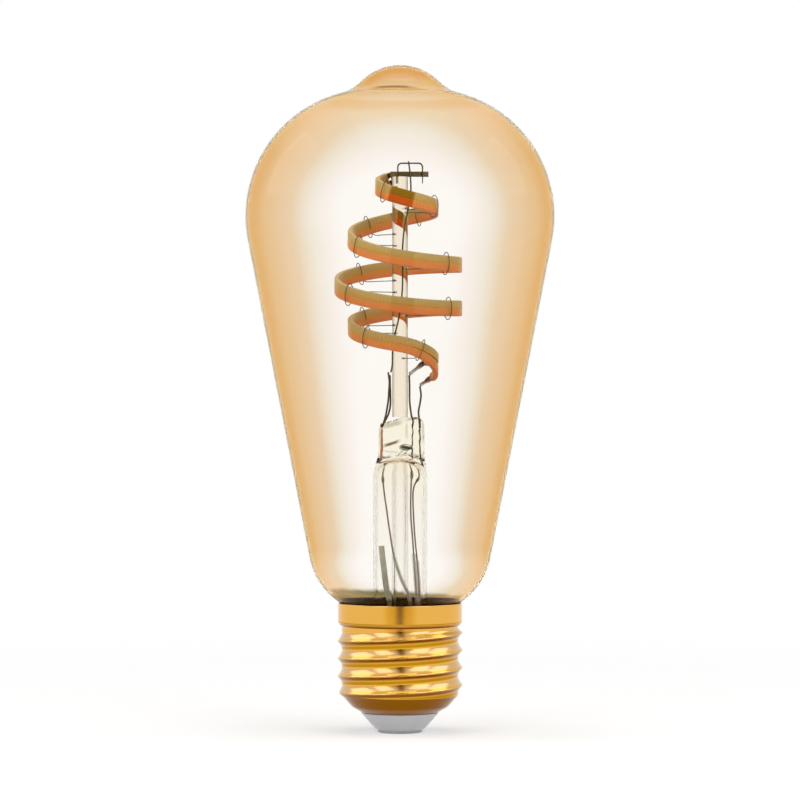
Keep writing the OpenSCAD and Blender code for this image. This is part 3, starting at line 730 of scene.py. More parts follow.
@dataclass(frozen=True)
class Metal(Finish):
    """Bare or plated metal with drawn lines and handling marks."""

    bright: Colour = (0.5, 0.5, 0.5)
    dull: Colour = (0.3, 0.3, 0.3)
    roughness: tuple[float, float] = (0.2, 0.35)
    lines_per_mm: float = 8.0
    marks_per_mm: float = 0.35
    marks_share: float = 0.5
    bump: float = 0.05

    def effects(self, board: NodeBoard) -> tuple[bpy.types.Node, bpy.types.NodeSocket]:
        """Places the metal's shared effects.

        Args:
            board: The material's board.

        Returns:
            The node of its drawn lines, and the mask of its handling marks.
        """
        marks = board.effect(Effect.MARKS, Marks_per_mm=self.marks_per_mm, Share=self.marks_share)
        return board.effect(Effect.DRAWN, Lines_per_mm=self.lines_per_mm), marks.outputs["Mask"]

    def shader(self, board: NodeBoard) -> bpy.types.NodeSocket:
        """Builds metal that is duller where it is worn.

        Args:
            board: The material's board.

        Returns:
            The shader's output.
        """
        drawn, marks = self.effects(board)
        wear = board.maths("MAXIMUM", drawn.outputs["Mask"], marks)
        return board.principled(
            Base_Color=board.blend(wear, self.bright, self.dull), Metallic=1.0,
            Roughness=board.spread(wear, *self.roughness), Normal=board.bump(drawn, self.bump),
        )


@dataclass(frozen=True)
class RolledBrass(Metal):
    """Gold-washed brass, with a painted highlight where the thread faces up a little and painted shade on
    steep upper flanks, slightly downward faces and undersides.
    """

    marks_per_mm: float = 0.25
    marks_share: float = 0.4
    marks_weight: float = 0.3
    # The pale colour is a painted highlight where the surface faces up a little. The steep, gold and under
    # colours are painted shade on steep upward faces, slightly downward faces and undersides. Handling marks
    # also take the steep colour.
    pale: Colour = (0.62, 0.39, 0.17)
    steep: Colour = (0.50, 0.27, 0.03)
    under_shade: Colour = (0.27, 0.10, 0.001)
    gold: Colour = (0.52, 0.24, 0.003)
    highlight_rough: float = 0.06
    gold_shade_where: Levels = ((0.28, 0.0), (0.34, 1.0), (0.46, 1.0), (0.495, 0.0))
    highlight_where: Levels = ((0.53, 0.0), (0.60, 1.0), (0.75, 1.0), (0.80, 0.0))
    steep_shade_where: Levels = ((0.77, 0.0), (0.84, 1.0))
    under_shade_where: Levels = ((0.18, 1.0), (0.30, 0.0))

    def shader(self, board: NodeBoard) -> bpy.types.NodeSocket:
        """Builds brass whose colour follows the tilt of its surface, as painted highlight and painted shade.

        Args:
            board: The material's board.

        Returns:
            The shader's output.
        """
        up = board.axes(board.add("ShaderNodeNewGeometry").outputs["Normal"])[2]
        tilt = board.maths("MULTIPLY", board.maths("ADD", up, 1.0), 0.5)
        drawn, marks = self.effects(board)
        wear = drawn.outputs["Mask"]
        colour = board.blend(wear, self.bright, self.dull)
        colour = board.blend(board.maths("MULTIPLY", marks, self.marks_weight), colour, self.steep)
        # Painted highlight and painted shade, laid on by the tilt of the surface.
        for where, paint in ((self.highlight_where, self.pale), (self.steep_shade_where, self.steep),
                             (self.gold_shade_where, self.gold), (self.under_shade_where, self.under_shade)):
            colour = board.blend(board.mask(tilt, where), colour, paint)
        softer = board.maths("MULTIPLY", board.mask(tilt, self.highlight_where), self.highlight_rough)
        rough = board.maths("ADD", board.spread(wear, *self.roughness), softer)
        return board.principled(Base_Color=colour, Metallic=1.0, Roughness=rough,
                                Normal=board.bump(drawn, self.bump))


@dataclass(frozen=True)
class Solid(Finish):
    """Moulded, fired or coated stuff with a speckled surface."""

    light: Colour = (0.5, 0.5, 0.5)
    dark: Colour = (0.4, 0.4, 0.4)
    roughness: tuple[float, float] = (0.4, 0.6)
    grains_per_mm: float = 4.0
    contrast: float = 2.0
    bump: float = 0.2
    coat: float = 0.0
    cover: float = 1.0

    def shader(self, board: NodeBoard) -> bpy.types.NodeSocket:
        """Builds stuff whose grain shades its colour and its gloss.

        Args:
            board: The material's board.

        Returns:
            The shader's output.
        """
        grain = board.effect(Effect.GRAIN, Grains_per_mm=self.grains_per_mm, Contrast=self.contrast)
        mask = grain.outputs["Mask"]
        return board.principled(
            Base_Color=board.blend(mask, self.dark, self.light),
            Roughness=board.spread(mask, *self.roughness), Coat_Weight=self.coat, Alpha=self.cover,
            Normal=board.bump(grain, self.bump),
        )


@dataclass(frozen=True)
class Phosphor(Finish):
    """Silicone strip loaded with phosphor over a row of tiny chips, warmer beside its neighbour."""

    skin: Colour = (0.6, 0.4, 0.1)
    deep: Colour = (0.4, 0.2, 0.05)
    seam: Colour = (0.74, 0.37, 0.08)
    seam_where: tuple[float, float] = (0.25, -1.0)
    # A painted sheen: the strip turns paler where its surface turns away.
    grazing_sheen: Colour = (0.85, 0.62, 0.40)
    grazing_sheen_where: Levels = ((0.6, 0.0), (1.0, 0.7))
    chip_pitch: float = 0.75
    chip_shade: float = 0.15
    grains_per_mm: float = 3.0
    contrast: float = 1.5
    grain_shade: float = 0.2
    bump: float = 0.1
    roughness: float = 0.6
    gloss: float = 0.12
    glow: float = 0.15
    glow_depth: float = 0.0012
    glow_spread: Colour = (1.0, 0.6, 0.3)

    def shader(self, board: NodeBoard) -> bpy.types.NodeSocket:
        """Builds the strip. It is deeper in colour over its chips and, as painted shade, where it crosses the
        rod. It is paler where it turns away, as a painted sheen.

        Args:
            board: The material's board.

        Returns:
            The shader's output.
        """
        along, across, rod_crossing_shade = (
            board.add("ShaderNodeAttribute", attribute_name=name).outputs["Fac"] for name in STRIP_LAYERS
        )
        wave = board.maths("SINE", board.maths("MULTIPLY", along, 2 * math.pi / self.chip_pitch))
        grain = board.effect(Effect.GRAIN, Grains_per_mm=self.grains_per_mm, Contrast=self.contrast)
        speckle = board.maths("MULTIPLY", grain.outputs["Mask"], self.grain_shade)
        share = board.maths("ADD", board.spread(wave, 0.0, self.chip_shade), speckle)
        colour = board.blend(board.easing(across, *self.seam_where), self.skin, self.seam)
        # Painted shade where the strip crosses the rod, over the deeper colour of its chips.
        colour = board.blend(board.maths("MAXIMUM", share, rod_crossing_shade), colour, self.deep)
        # Painted sheen, paler where the strip turns away.
        colour = board.blend(board.mask(board.facing(), self.grazing_sheen_where), colour, self.grazing_sheen)
        return board.principled(
            Base_Color=colour, Roughness=self.roughness, Specular_IOR_Level=self.gloss,
            Subsurface_Weight=self.glow, Subsurface_Radius=self.glow_spread,
            Subsurface_Scale=self.glow_depth, Normal=board.bump(grain, self.bump),
        )


COATED_GLASS = Glass(
    "coated_glass",
    tints=(
        (0.0, (0.99, 0.975, 0.95)), (0.08, (0.985, 0.965, 0.935)), (0.145, (0.95, 0.89, 0.84)),
        (0.21, (0.88, 0.825, 0.71)), (0.296, (0.85, 0.69, 0.485)), (0.55, (0.90, 0.62, 0.34)),
        (0.75, (0.86, 0.52, 0.16)), (1.0, (0.80, 0.45, 0.12)),
    ),
    cloud=0.08,
    coat_by_height=(
        (0.0, 0.34), (0.222, 0.34), (0.275, 0.5), (0.866, 0.5), (0.92, 0.40), (0.941, 0.34), (0.95, 0.48),
        (0.961, 0.42), (0.967, 0.55), (0.976, 0.62),
    ),
    # Painted shade along the fold at the foot of the knob, and an amber spot on the knob.
    shade_and_tint_marks=(
        ShadeAndTintMark(-1.3, 132.5, 5.6, 0.25, 0.012, 0.0, (0.20, 0.10, 0.01)),
        ShadeAndTintMark(5.6, 133.5, 2.6, 2.1, 0.0, 0.0, (0.90, 0.71, 0.42)),
    ),
    # Painted shade on the foot of the glass, where the dark inside of the cap shows through.
    foot_shade=FootShade(top=28.1),
)
CLEAR_GLASS = Glass(
    "clear_glass",
    tints=(
        (0.0, (0.99, 0.988, 0.98)), (0.5, (0.98, 0.975, 0.955)), (0.8, (0.86, 0.85, 0.77)),
        (0.93, (0.55, 0.54, 0.42)), (1.0, (0.32, 0.31, 0.22)),
    ),
    ior=1.3,
    cloud=0.05,
    wash=((0.25, (1.0, 1.0, 1.0)), (0.34, (0.995, 0.99, 0.98)), (0.39, (0.985, 0.972, 0.92)),
          (0.43, (0.965, 0.94, 0.83))),
    # Marks on the press: painted shade where the thick glass looks dark, along its edges, over a wedge and at
    # the gas hole, and faint streaks that pinching leaves.
    shade_and_tint_marks=(
        ShadeAndTintMark(-1.6, 63.7, 2.8, 0.75, 0.0, 0.25, (0.40, 0.40, 0.26)),
        ShadeAndTintMark(-1.8, 59.7, 2.3, 0.50, -0.04, 0.32, (0.07, 0.03, 0.005)),
        ShadeAndTintMark(1.3, 58.9, 1.9, 0.50, 0.0, -0.15, (0.05, 0.09, 0.055)),
        ShadeAndTintMark(4.75, 62.3, 0.35, 3.4, 0.0, 0.0, (0.50, 0.50, 0.38)),
        ShadeAndTintMark(-4.2, 61.2, 0.30, 3.2, 0.0, 0.0, (0.58, 0.56, 0.44)),
        ShadeAndTintMark(3.0, 64.9, 2.4, 0.40, 0.12, 0.0, (0.36, 0.36, 0.24)),
        ShadeAndTintMark(1.35, 62.3, 0.40, 2.3, 0.0, 0.0, (0.62, 0.58, 0.42)),
        ShadeAndTintMark(3.3, 57.2, 1.9, 0.55, 0.0, -0.20, (0.38, 0.35, 0.20)),
        ShadeAndTintMark(-1.6, 58.0, 2.6, 0.30, 0.0, -0.10, (0.62, 0.60, 0.46)),
    ),
    edge_dark=0.1,
)
TUBE_GLASS = Glass(
    "tube_glass",
    tints=(
        (0.0, (0.985, 0.982, 0.98)), (0.1, (0.97, 0.965, 0.955)), (0.3, (0.88, 0.86, 0.82)),
        (0.6, (0.78, 0.75, 0.68)), (1.0, (0.5, 0.47, 0.4)),
    ),
    ior=1.3,
    cloud=0.05,
    edge_dark=0.1,
)
ROD_GLASS = Glass(
    "rod_glass",
    tints=(
        (0.0, (0.92, 0.84, 0.73)), (0.2, (0.88, 0.79, 0.67)), (0.35, (0.62, 0.54, 0.42)),
        (0.6, (0.25, 0.21, 0.15)), (1.0, (0.10, 0.08, 0.05)),
    ),
    ior=1.5,
    cloud=0.2,
    mirror=0.5,
    edge_dark=0.9,
)
# A metal's own values are its bright colour, its dull colour and its roughness where bright and dull.
BRASS = RolledBrass("rolled_brass", (0.83, 0.45, 0.085), (0.77, 0.40, 0.06), (0.12, 0.18), lines_per_mm=5.0,
                    bump=0.02)
NICKEL = Metal("dull_nickel_wire", (0.095, 0.068, 0.032), (0.05, 0.034, 0.014), (0.3, 0.45))
HOOK_WIRE = Metal("hook_wire", (0.15, 0.105, 0.055), (0.08, 0.055, 0.025), (0.3, 0.45))
CLAD_DARK = Metal("oxidised_clad_wire", (0.14, 0.10, 0.08), (0.07, 0.05, 0.035), (0.35, 0.5))
START_METAL = Metal("heated_tab", (0.24, 0.17, 0.10), (0.11, 0.075, 0.04), (0.35, 0.5))
TAB_METAL = Metal("plated_tab", (0.45, 0.41, 0.35), (0.22, 0.18, 0.14), (0.25, 0.4))
COPPER = Metal("copper_clad_wire", (0.55, 0.26, 0.13), (0.26, 0.12, 0.06), (0.3, 0.5))
TINNED = Metal("tinned_lead", (0.19, 0.15, 0.12), (0.11, 0.085, 0.065), (0.25, 0.4))
CONTACT = Metal("tinned_contact", (0.42, 0.41, 0.40), (0.28, 0.27, 0.26), (0.3, 0.5))
SHIELD = Metal("tin_plate", (0.72, 0.73, 0.74), (0.55, 0.56, 0.57), (0.2, 0.35))
# A solid stuff's own values are its light colour, its dark colour and its roughness where dark and light.
CAP_GLAZE = Solid("cap_glaze", (0.84, 0.85, 0.87), (0.70, 0.71, 0.73), (0.3, 0.4),
                  grains_per_mm=1.5, contrast=0.8, bump=0.03, coat=0.2)
CEMENT = Solid("basing_cement", (0.78, 0.66, 0.28), (0.40, 0.33, 0.13), (0.8, 0.95),
               grains_per_mm=2.0, contrast=3.0, bump=0.6)
SLEEVE = Solid("clear_sleeving", (0.80, 0.74, 0.68), (0.62, 0.56, 0.50), (0.5, 0.7), bump=0.1, cover=0.3)
ANTENNA = Solid("grey_sleeving", (0.80, 0.81, 0.70), (0.55, 0.57, 0.47), (0.5, 0.7),
                grains_per_mm=2.0, contrast=3.0)
BOARD_GREEN = Solid("green_board", (0.02, 0.12, 0.04), (0.01, 0.07, 0.02), (0.3, 0.4))
BOARD_BLUE = Solid("blue_board", (0.01, 0.03, 0.12), (0.005, 0.015, 0.07), (0.3, 0.4))
EPOXY = Solid("black_epoxy", (0.02, 0.02, 0.022), (0.01, 0.01, 0.011), (0.5, 0.7))
FERRITE = Solid("ferrite", (0.05, 0.05, 0.05), (0.025, 0.025, 0.025), (0.6, 0.8))
CAN_SLEEVE = Solid("capacitor_sleeve", (0.02, 0.025, 0.04), (0.01, 0.012, 0.02), (0.2, 0.3))
FILM = Solid("yellow_film", (0.65, 0.48, 0.15), (0.5, 0.35, 0.1), (0.15, 0.25), bump=0.05)
RESISTOR = Solid("resistor_glaze", (0.09, 0.2, 0.3), (0.06, 0.14, 0.22), (0.25, 0.4))
CHIP_TAN = Solid("fired_chip", (0.45, 0.32, 0.18), (0.35, 0.24, 0.12), (0.4, 0.6))
LIVE_SKIN = Solid("red_insulation", (0.45, 0.02, 0.015), (0.35, 0.012, 0.01), (0.35, 0.5))
NEUTRAL_SKIN = Solid("blue_insulation", (0.02, 0.04, 0.28), (0.015, 0.025, 0.2), (0.35, 0.5))
COOL_PHOSPHOR = Phosphor("tan_phosphor", skin=(0.60, 0.44, 0.17), deep=(0.27, 0.14, 0.001))
WARM_PHOSPHOR = Phosphor("orange_phosphor", skin=(0.86, 0.29, 0.09), deep=(0.58, 0.095, 0.002))


# ---- Meshes ----


def add_object(name: str, data: bpy.types.ID) -> bpy.types.Object:
    """Adds an object to the scene.

    Args:
        name: Its name.
        data: Its mesh, lamp or camera.

    Returns:
        The object.
    """
    made = bpy.data.objects.new(name, data)
    bpy.context.scene.collection.objects.link(made)
    return made


def add_mesh(name: str, points: Array, faces: Sequence[Sequence[int]]) -> bpy.types.Object:
    """Adds an object with a mesh.

    Args:
        name: Its name.
        points: Its points, in millimetres.
        faces: Its faces, as the numbers of their points.

    Returns:
        The object, in metres and in the lamp's frame.
    """
    mesh = bpy.data.meshes.new(name)
    mesh.from_pydata((points * MM).tolist(), [], faces)
    return add_object(name, mesh)


@dataclass
class PieceMaker:
    """Gathers the rings of one piece, in millimetres, and makes it a Blender object."""

    name: str
    points: list[Array] = field(default_factory=list)
    faces: list[tuple[int, ...]] = field(default_factory=list)

    def add(self, rings: Array, looped: bool = False) -> "PieceMaker":
        """Adds one closed solid.

        Args:
            rings: Its rings of points, all of one length.
            looped: Whether the last ring joins the first. If not, both ends are capped.

        Returns:
            The maker itself.
        """
        n, m = rings.shape[:2]
        start = len(self.points)
        self.points.extend(rings.reshape(-1, 3))
        for i in range(n if looped else n - 1):
            low, high = start + i * m, start + (i + 1) % n * m
            self.faces.extend((low + k, high + k, high + (k + 1) % m, low + (k + 1) % m) for k in range(m))
        if not looped:
            self.cap(rings[0], start)
            self.cap(rings[-1], start + (n - 1) * m)
        return self

    def cap(self, ring: Array, start: int) -> None:
        """Closes a ring with a fan of triangles.

        Args:
            ring: The ring's points.
            start: The number of its first point.
        """
        centre, m = len(self.points), len(ring)
        self.points.append(ring.mean(axis=0))
        self.faces.extend((start + k, start + (k + 1) % m, centre) for k in range(m))

    def stand_for(self, node: str, slot: str, finish: Finish, crease: float = 40.0) -> bpy.types.Object:
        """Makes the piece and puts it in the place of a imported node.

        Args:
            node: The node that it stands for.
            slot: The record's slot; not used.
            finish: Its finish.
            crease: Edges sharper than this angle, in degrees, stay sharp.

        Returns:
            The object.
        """
        piece = add_mesh(self.name, np.array(self.points), self.faces)
        tidy = bmesh.new()
        tidy.from_mesh(piece.data)
        bmesh.ops.recalc_face_normals(tidy, faces=tidy.faces)
        for edge in tidy.edges:
            edge.smooth = edge.calc_face_angle(math.pi) < math.radians(crease)
        for face in tidy.faces:
            face.smooth = True
        tidy.to_mesh(piece.data)
        tidy.free()
        piece.data.materials.append(finish.material())
        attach(piece, ROOT_BODY)
        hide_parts(node)
        LOG.info("%s stands for %s in %s", piece.name, node, finish.name)
        return piece


def dress_node(node: str, finish: Finish) -> None:
    """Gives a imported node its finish.

    Args:
        node: The node's name.
        finish: Its finish.
    """
    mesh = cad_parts[node].data
    mesh.materials.clear()
    mesh.materials.append(finish.material())
    LOG.info("%s is finished in %s", node, finish.name)


# ---- The lamp's sub-assemblies ----


@dataclass(frozen=True)
class Datum:
    """The heights and radii that all sub-assemblies share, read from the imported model."""

    lamp_h: float
    bulb_r: float
    neck_z: float
    post_top_z: float
    press_top_z: float
    shell_z: float
    rim_z: float

    @classmethod
    def from_frame(cls) -> "Datum":
        """Reads the datum.

        Returns:
            The shared heights and radii, in millimetres.
        """
        glass, post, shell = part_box("envelope"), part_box("centre_post"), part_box("screw_shell")
        return cls(
            lamp_h=glass[1].z / MM,
            bulb_r=glass[1].x / MM,
            neck_z=glass[0].z / MM,
            post_top_z=post[1].z / MM,
            press_top_z=post[0].z / MM,
            shell_z=shell[0].z / MM,
            rim_z=shell[1].z / MM,
        )


@dataclass
class Envelope:
    """The blown glass: teardrop, hollow knob and neck."""

    datum: Datum
    tip_r: float = 11.4
    tip_open: float = 0.3
    hollow_r: float = 10.6
    shoulder_r: float = 26.3
    shoulder_drop: float = 31.3
    foot_w: float = 19.0
    foot_r: float = 14.5
    rim_r: float = 12.39
    neck_r: float = 11.3
    neck_turn: float = 2.0
    wall: float = 0.5
    segments: int = 256
    knob_steps: int = 24
    shoulder_steps: int = 72
    side_steps: int = 24
    foot_steps: int = 36
    neck_steps: int = 12

    def centres(self) -> dict[str, Array]:
        """Finds the centres of the outline's arcs.

        Returns:
            The centres by name, as (radius, height).
        """
        tip = np.array([0.0, self.datum.lamp_h - self.tip_r])
        shoulder = np.array([self.datum.bulb_r - self.shoulder_r, self.datum.lamp_h - self.shoulder_drop])
        hollow = meeting(tip, shoulder, self.tip_r + self.hollow_r, self.shoulder_r + self.hollow_r)
        reach = self.rim_r - self.foot_w + self.foot_r
        foot_z = self.datum.rim_z + math.sqrt(self.foot_r**2 - reach**2)
        foot = np.array([self.foot_w - self.foot_r, foot_z])
        x, reach = self.neck_r + self.neck_turn, self.foot_r + self.neck_turn
        neck = np.array([x, foot_z - math.sqrt(reach**2 - (x - foot[0]) ** 2)])
        return {"tip": tip, "shoulder": shoulder, "hollow": hollow, "foot": foot, "neck": neck}

    def lean(self, run: Array) -> float:
        """Returns the lean of the straight side, which touches the shoulder and the foot, a run apart."""
        touch = math.asin((self.shoulder_r - self.foot_r) / np.linalg.norm(run))
        return math.degrees(touch + math.atan2(run[0], run[1]))

    def outside(self) -> list[Array]:
        """Draws the outside.

        Returns:
            Its outline from the tip down to the neck.
        """
        c = self.centres()
        turn = angle_to(c["hollow"] - c["tip"])
        dip = angle_to(c["shoulder"] - c["hollow"])
        top = angle_to(c["hollow"] - c["shoulder"])
        foot = angle_to(c["neck"] - c["foot"])
        lean = self.lean(c["shoulder"] - c["foot"])
        out = np.array([cosine(-lean), sine(-lean)])
        high, low = c["shoulder"] + self.shoulder_r * out, c["foot"] + self.foot_r * out
        return [
            *arc(c["tip"], self.tip_r, 90 - self.tip_open, turn, self.knob_steps),
            *arc(c["hollow"], self.hollow_r, turn - 180, dip, self.knob_steps)[1:],
            *arc(c["shoulder"], self.shoulder_r, top, -lean, self.shoulder_steps)[1:],
            *[high + (low - high) * t for t in np.linspace(0, 1, self.side_steps + 1)[1:-1]],
            *arc(c["foot"], self.foot_r, -lean, foot, self.foot_steps),
            *arc(c["neck"], self.neck_turn, foot + 180, 180, self.neck_steps)[1:],
            np.array([self.neck_r, self.datum.neck_z]),
        ]

    def inside(self) -> Array:
        """Draws the inside, which runs along the outside.

        Returns:
            Its outline from the neck up into the knob.
        """
        outside = np.array(self.outside())
        along = headings_along(outside)
        return (outside + self.wall * np.column_stack([along[:, 1], -along[:, 0]]))[::-1]

    def build(self) -> None:
        """Builds the glass."""
        rings = [turned(side, self.segments) for side in (self.outside(), self.inside())]
        maker = PieceMaker("glass_bulb").add(np.concatenate(rings))
        maker.stand_for("envelope", "bulb_glass", COATED_GLASS, crease=60)


@dataclass
class GlassMount:
    """The flare tube with its press, the exhaust tube and the rod."""

    datum: Datum
    stem_r: float = 5.55
    stem_wall: float = 0.8
    press_w: float = 4.75
    press_t: float = 1.75
    press_h: float = 12.3
    press_shift: float = 0.3
    press_crown: float = 2.0
    crown_side: float = 0.8
    crown_stop: float = 0.999
    crown_span: tuple[float, float] = (8.0, 86.0)
    press_square: float = 1.2
    pinch_h: float = 6.2
    narrow_h: float = 5.4
    slump: float = 1.2
    slump_h: float = 4.0
    slump_x: float = 1.5
    slump_w: float = 5.5
    flare_r: float = 4.9
    lip_r: float = 11.3
    bore_drop: float = 1.2
    gas_hole: tuple[float, float] = (1.24, 58.9)
    gas_hole_r: tuple[float, float, float] = (1.45, 0.8, 0.72)
    gas_neck_r: float = 0.4
    dome_square: float = 2.6
    dome_gap: float = 0.2
    pole_open: float = 4.0
    ripple: float = 0.2
    segments: int = 128
    tube_steps: int = 30
    flare_steps: int = 24
    dome_steps: int = 36
    bubble_steps: int = 24
    first_row: float = 0.15
    press_rows: int = 46
    crown_rows: int = 12

    @property
    def stem_top_z(self) -> float:
        """The height where the open tube ends and the press starts."""
        return self.datum.press_top_z - self.press_h

    def flare(self, wall: float) -> list[Array]:
        """Draws one side of the flare, from the tube out to the lip.

        Args:
            wall: How far inside the outer side it lies.

        Returns:
            Its points, from the top of the tube down.
        """
        centre = np.array([self.stem_r + self.flare_r, self.datum.neck_z + self.flare_r])
        tube = np.linspace(self.stem_top_z, centre[1], self.tube_steps)[:-1]
        rows = [np.array([self.stem_r - wall, z]) for z in tube]
        lip = np.array([self.lip_r, self.datum.neck_z - wall])
        return [*rows, *arc(centre, self.flare_r + wall, 180, 270, self.flare_steps), lip]

    def press_half(self, z: float) -> tuple[float, float, float]:
        """Measures the press at one height.

        Args:
            z: The height above the tube's open part.

        Returns:
            Its half width, its half thickness and the squareness of its section.
        """
        pinch, narrow = ease(z / self.pinch_h), ease(z / self.narrow_h)
        half_w = self.stem_r + (self.press_w - self.stem_r) * narrow
        half_t = self.stem_r + (self.press_t - self.stem_r) * pinch
        crown = self.press_crown
        over = min(max((z - (self.press_h - crown)) / crown, 0.0), self.crown_stop)
        shrink = crown * (1 - math.sqrt(1 - over * over))
        return half_w - shrink, half_t - self.crown_side * shrink, 2 + self.press_square * pinch

    def ripples(self, x: Array, z: float) -> Array:
        """Returns the uneven waves that pinching leaves in the glass, from about -1.5 to 1.5."""
        wave = np.sin(1.9 * x + 0.9 * z) * np.cos(0.8 * x - 1.3 * z + 1.0)
        return wave + 0.5 * np.sin(3.1 * z + 2.2 * x)

    def press_ring(self, z: float) -> Array:
        """Draws the press's outer side at one height.

        Args:
            z: The height above the tube's open part.

        Returns:
            Its ring of points, rippled and slumped to one side as pinched glass is.
        """
        half_w, half_t, square = self.press_half(z)
        pinch, power = ease(z / self.pinch_h), 2 / square
        angles = ring_angles(self.segments)
        cos, sin = np.cos(angles), np.sin(angles)
        x = half_w * np.sign(cos) * np.abs(cos) ** power + self.press_shift * pinch
        y = half_t * np.sign(sin) * np.abs(sin) ** power
        swell = 1 + self.ripple * pinch * self.ripples(x, z) / max(half_t, 1.0) * np.abs(sin)
        low = self.slump * ease((z - self.press_h + self.slump_h) / self.slump_h)
        fall = np.array([low * ease((self.slump_x - side) / self.slump_w) for side in x])
        return np.column_stack([x, y * swell, self.stem_top_z + z - fall])

    def bore(self) -> Array:
        """Draws the inside of the tube, from its domed top down.

        Returns:
            Its rings of points.
        """
        radius = self.stem_r - self.stem_wall
        low = self.stem_top_z - self.bore_drop
        power = 2 / self.dome_square
        steep = math.degrees(math.acos((self.gas_neck_r / radius) ** (1 / power)))
        dome = [np.array([radius * cosine(a) ** power, low + radius * sine(a) ** power])
                for a in np.linspace(steep, 0, self.dome_steps)]
        tube = [q for q in self.flare(self.stem_wall) if q[1] < low - self.dome_gap]
        return turned([*dome, *tube], self.segments)

    def gas_bubble(self) -> Array:
        """Draws the gas hole, an oval bubble to one side above the bore.

        Returns:
            Its rings of points, from its top down to its neck.
        """
        x, z = self.gas_hole
        shut = 180 - math.degrees(math.asin(self.gas_neck_r / self.gas_hole_r[0]))
        angles = np.linspace(self.pole_open, shut, self.bubble_steps)
        outline = [np.array([sine(a), cosine(a)]) for a in angles]
        return turned(outline, self.segments) * np.array(self.gas_hole_r) + np.array([x, 0.0, z])

    def build_stem(self) -> None:
        """Builds the flare tube and the press as one piece of glass."""
        outer_tube = turned(self.flare(0.0)[::-1], self.segments)
        low = np.linspace(self.first_row, self.press_h - self.press_crown, self.press_rows)
        crown = [self.press_h - self.press_crown * (1 - sine(a))
                 for a in np.linspace(*self.crown_span, self.crown_rows)]
        press = np.array([self.press_ring(z) for z in (*low, *crown)])
        inner_tube = np.concatenate([self.gas_bubble(), self.bore()])
        rings = np.concatenate([press[::-1], outer_tube[::-1], inner_tube[::-1]])
        PieceMaker("stem_glass").add(rings).stand_for("stem_flare", "mount_glass", CLEAR_GLASS, crease=50)

    def build(self) -> None:
        """Builds the stem and dresses the rod and the exhaust tube."""
        self.build_stem()
        dress_node("exhaust_tube", TUBE_GLASS)
        dress_node("centre_post", ROD_GLASS)


@dataclass
class RodTop:
    """The flat bar on top of the rod and the bent wire that holds it."""

    datum: Datum
    post_r: float = 1.62
    bar_x: tuple[float, float] = (-2.05, 5.9)
    bar_t: float = 0.5
    bar_h: float = 1.1
    bar_round: float = 0.06
    bar_sides: int = 32
    bar_square: float = 10.0
    wire_r: float = 0.16
    legs_x: tuple[float, float] = (-0.45, 4.66)
    rise: float = 2.8
    root: float = 1.4
    corner: float = 0.8
    corner_steps: int = 8
    seat: float = 0.02

    @property
    def bar_z(self) -> float:
        """The height of the bar's middle."""
        return self.datum.post_top_z + self.bar_h / 2

    @property
    def wire_y(self) -> float:
        """Where the bracket stands, just in front of the bar."""
        return -self.bar_t / 2 - self.wire_r - self.seat

    def build_bar(self) -> None:
        """Builds the bar."""
        (left, right), soft = self.bar_x, self.bar_round
        path = np.array([[x, 0.0, self.bar_z] for x in (left, left + soft, right - soft, right)])
        radii = np.array([[self.bar_t / 2, self.bar_h / 2]] * 4)
        radii[[0, -1]] -= soft
        frames = (np.tile([0.0, 1.0, 0.0], (4, 1)), np.tile([0.0, 0.0, 1.0], (4, 1)))
        section = soft_section(self.bar_sides, self.bar_square)
        maker = PieceMaker("filament_bar").add(swept(path, section, radii, frames))
        maker.stand_for("common_bar", "nickel_wire", NICKEL, crease=50)

    def build_bracket(self) -> None:
        """Builds the bracket."""
        top, low = self.datum.post_top_z + self.rise, self.datum.post_top_z - self.root
        (left, right), r = self.legs_x, self.corner
        corners = [
            *arc(np.array([left + r, top - r]), r, 180, 90, self.corner_steps),
            *arc(np.array([right - r, top - r]), r, 90, 0, self.corner_steps),
        ]
        route = np.array([[x, self.wire_y, z] for x, z in ((left, low), *corners, (right, low))])
        maker = PieceMaker("rod_bracket").add(wire_rings(route, self.wire_r))
        maker.stand_for("top_bracket", "nickel_wire", NICKEL)

    def build(self) -> None:
        """Builds the bar and the bracket."""
        self.build_bar()
        self.build_bracket()


@dataclass(frozen=True)
class Strip:
    """What one strip of the pair has of its own."""

    name: str
    side: int
    dive: float
    span: float
    end: float
    finish: Phosphor
    lead: tuple[float, float, float]

    def lead_top(self, datum: Datum) -> Array:
        """Returns the top of the lead that its lower end is welded to."""
        return np.array([self.lead[0], self.lead[1], datum.press_top_z + self.lead[2]])


COOL_STRIP = Strip("cool", 1, 2.5, 0.26, 3.6, COOL_PHOSPHOR, (1.9, 0.3, 8.9))
WARM_STRIP = Strip("warm", -1, 4.4, 0.33, 3.56, WARM_PHOSPHOR, (4.1, 0.3, 6.6))


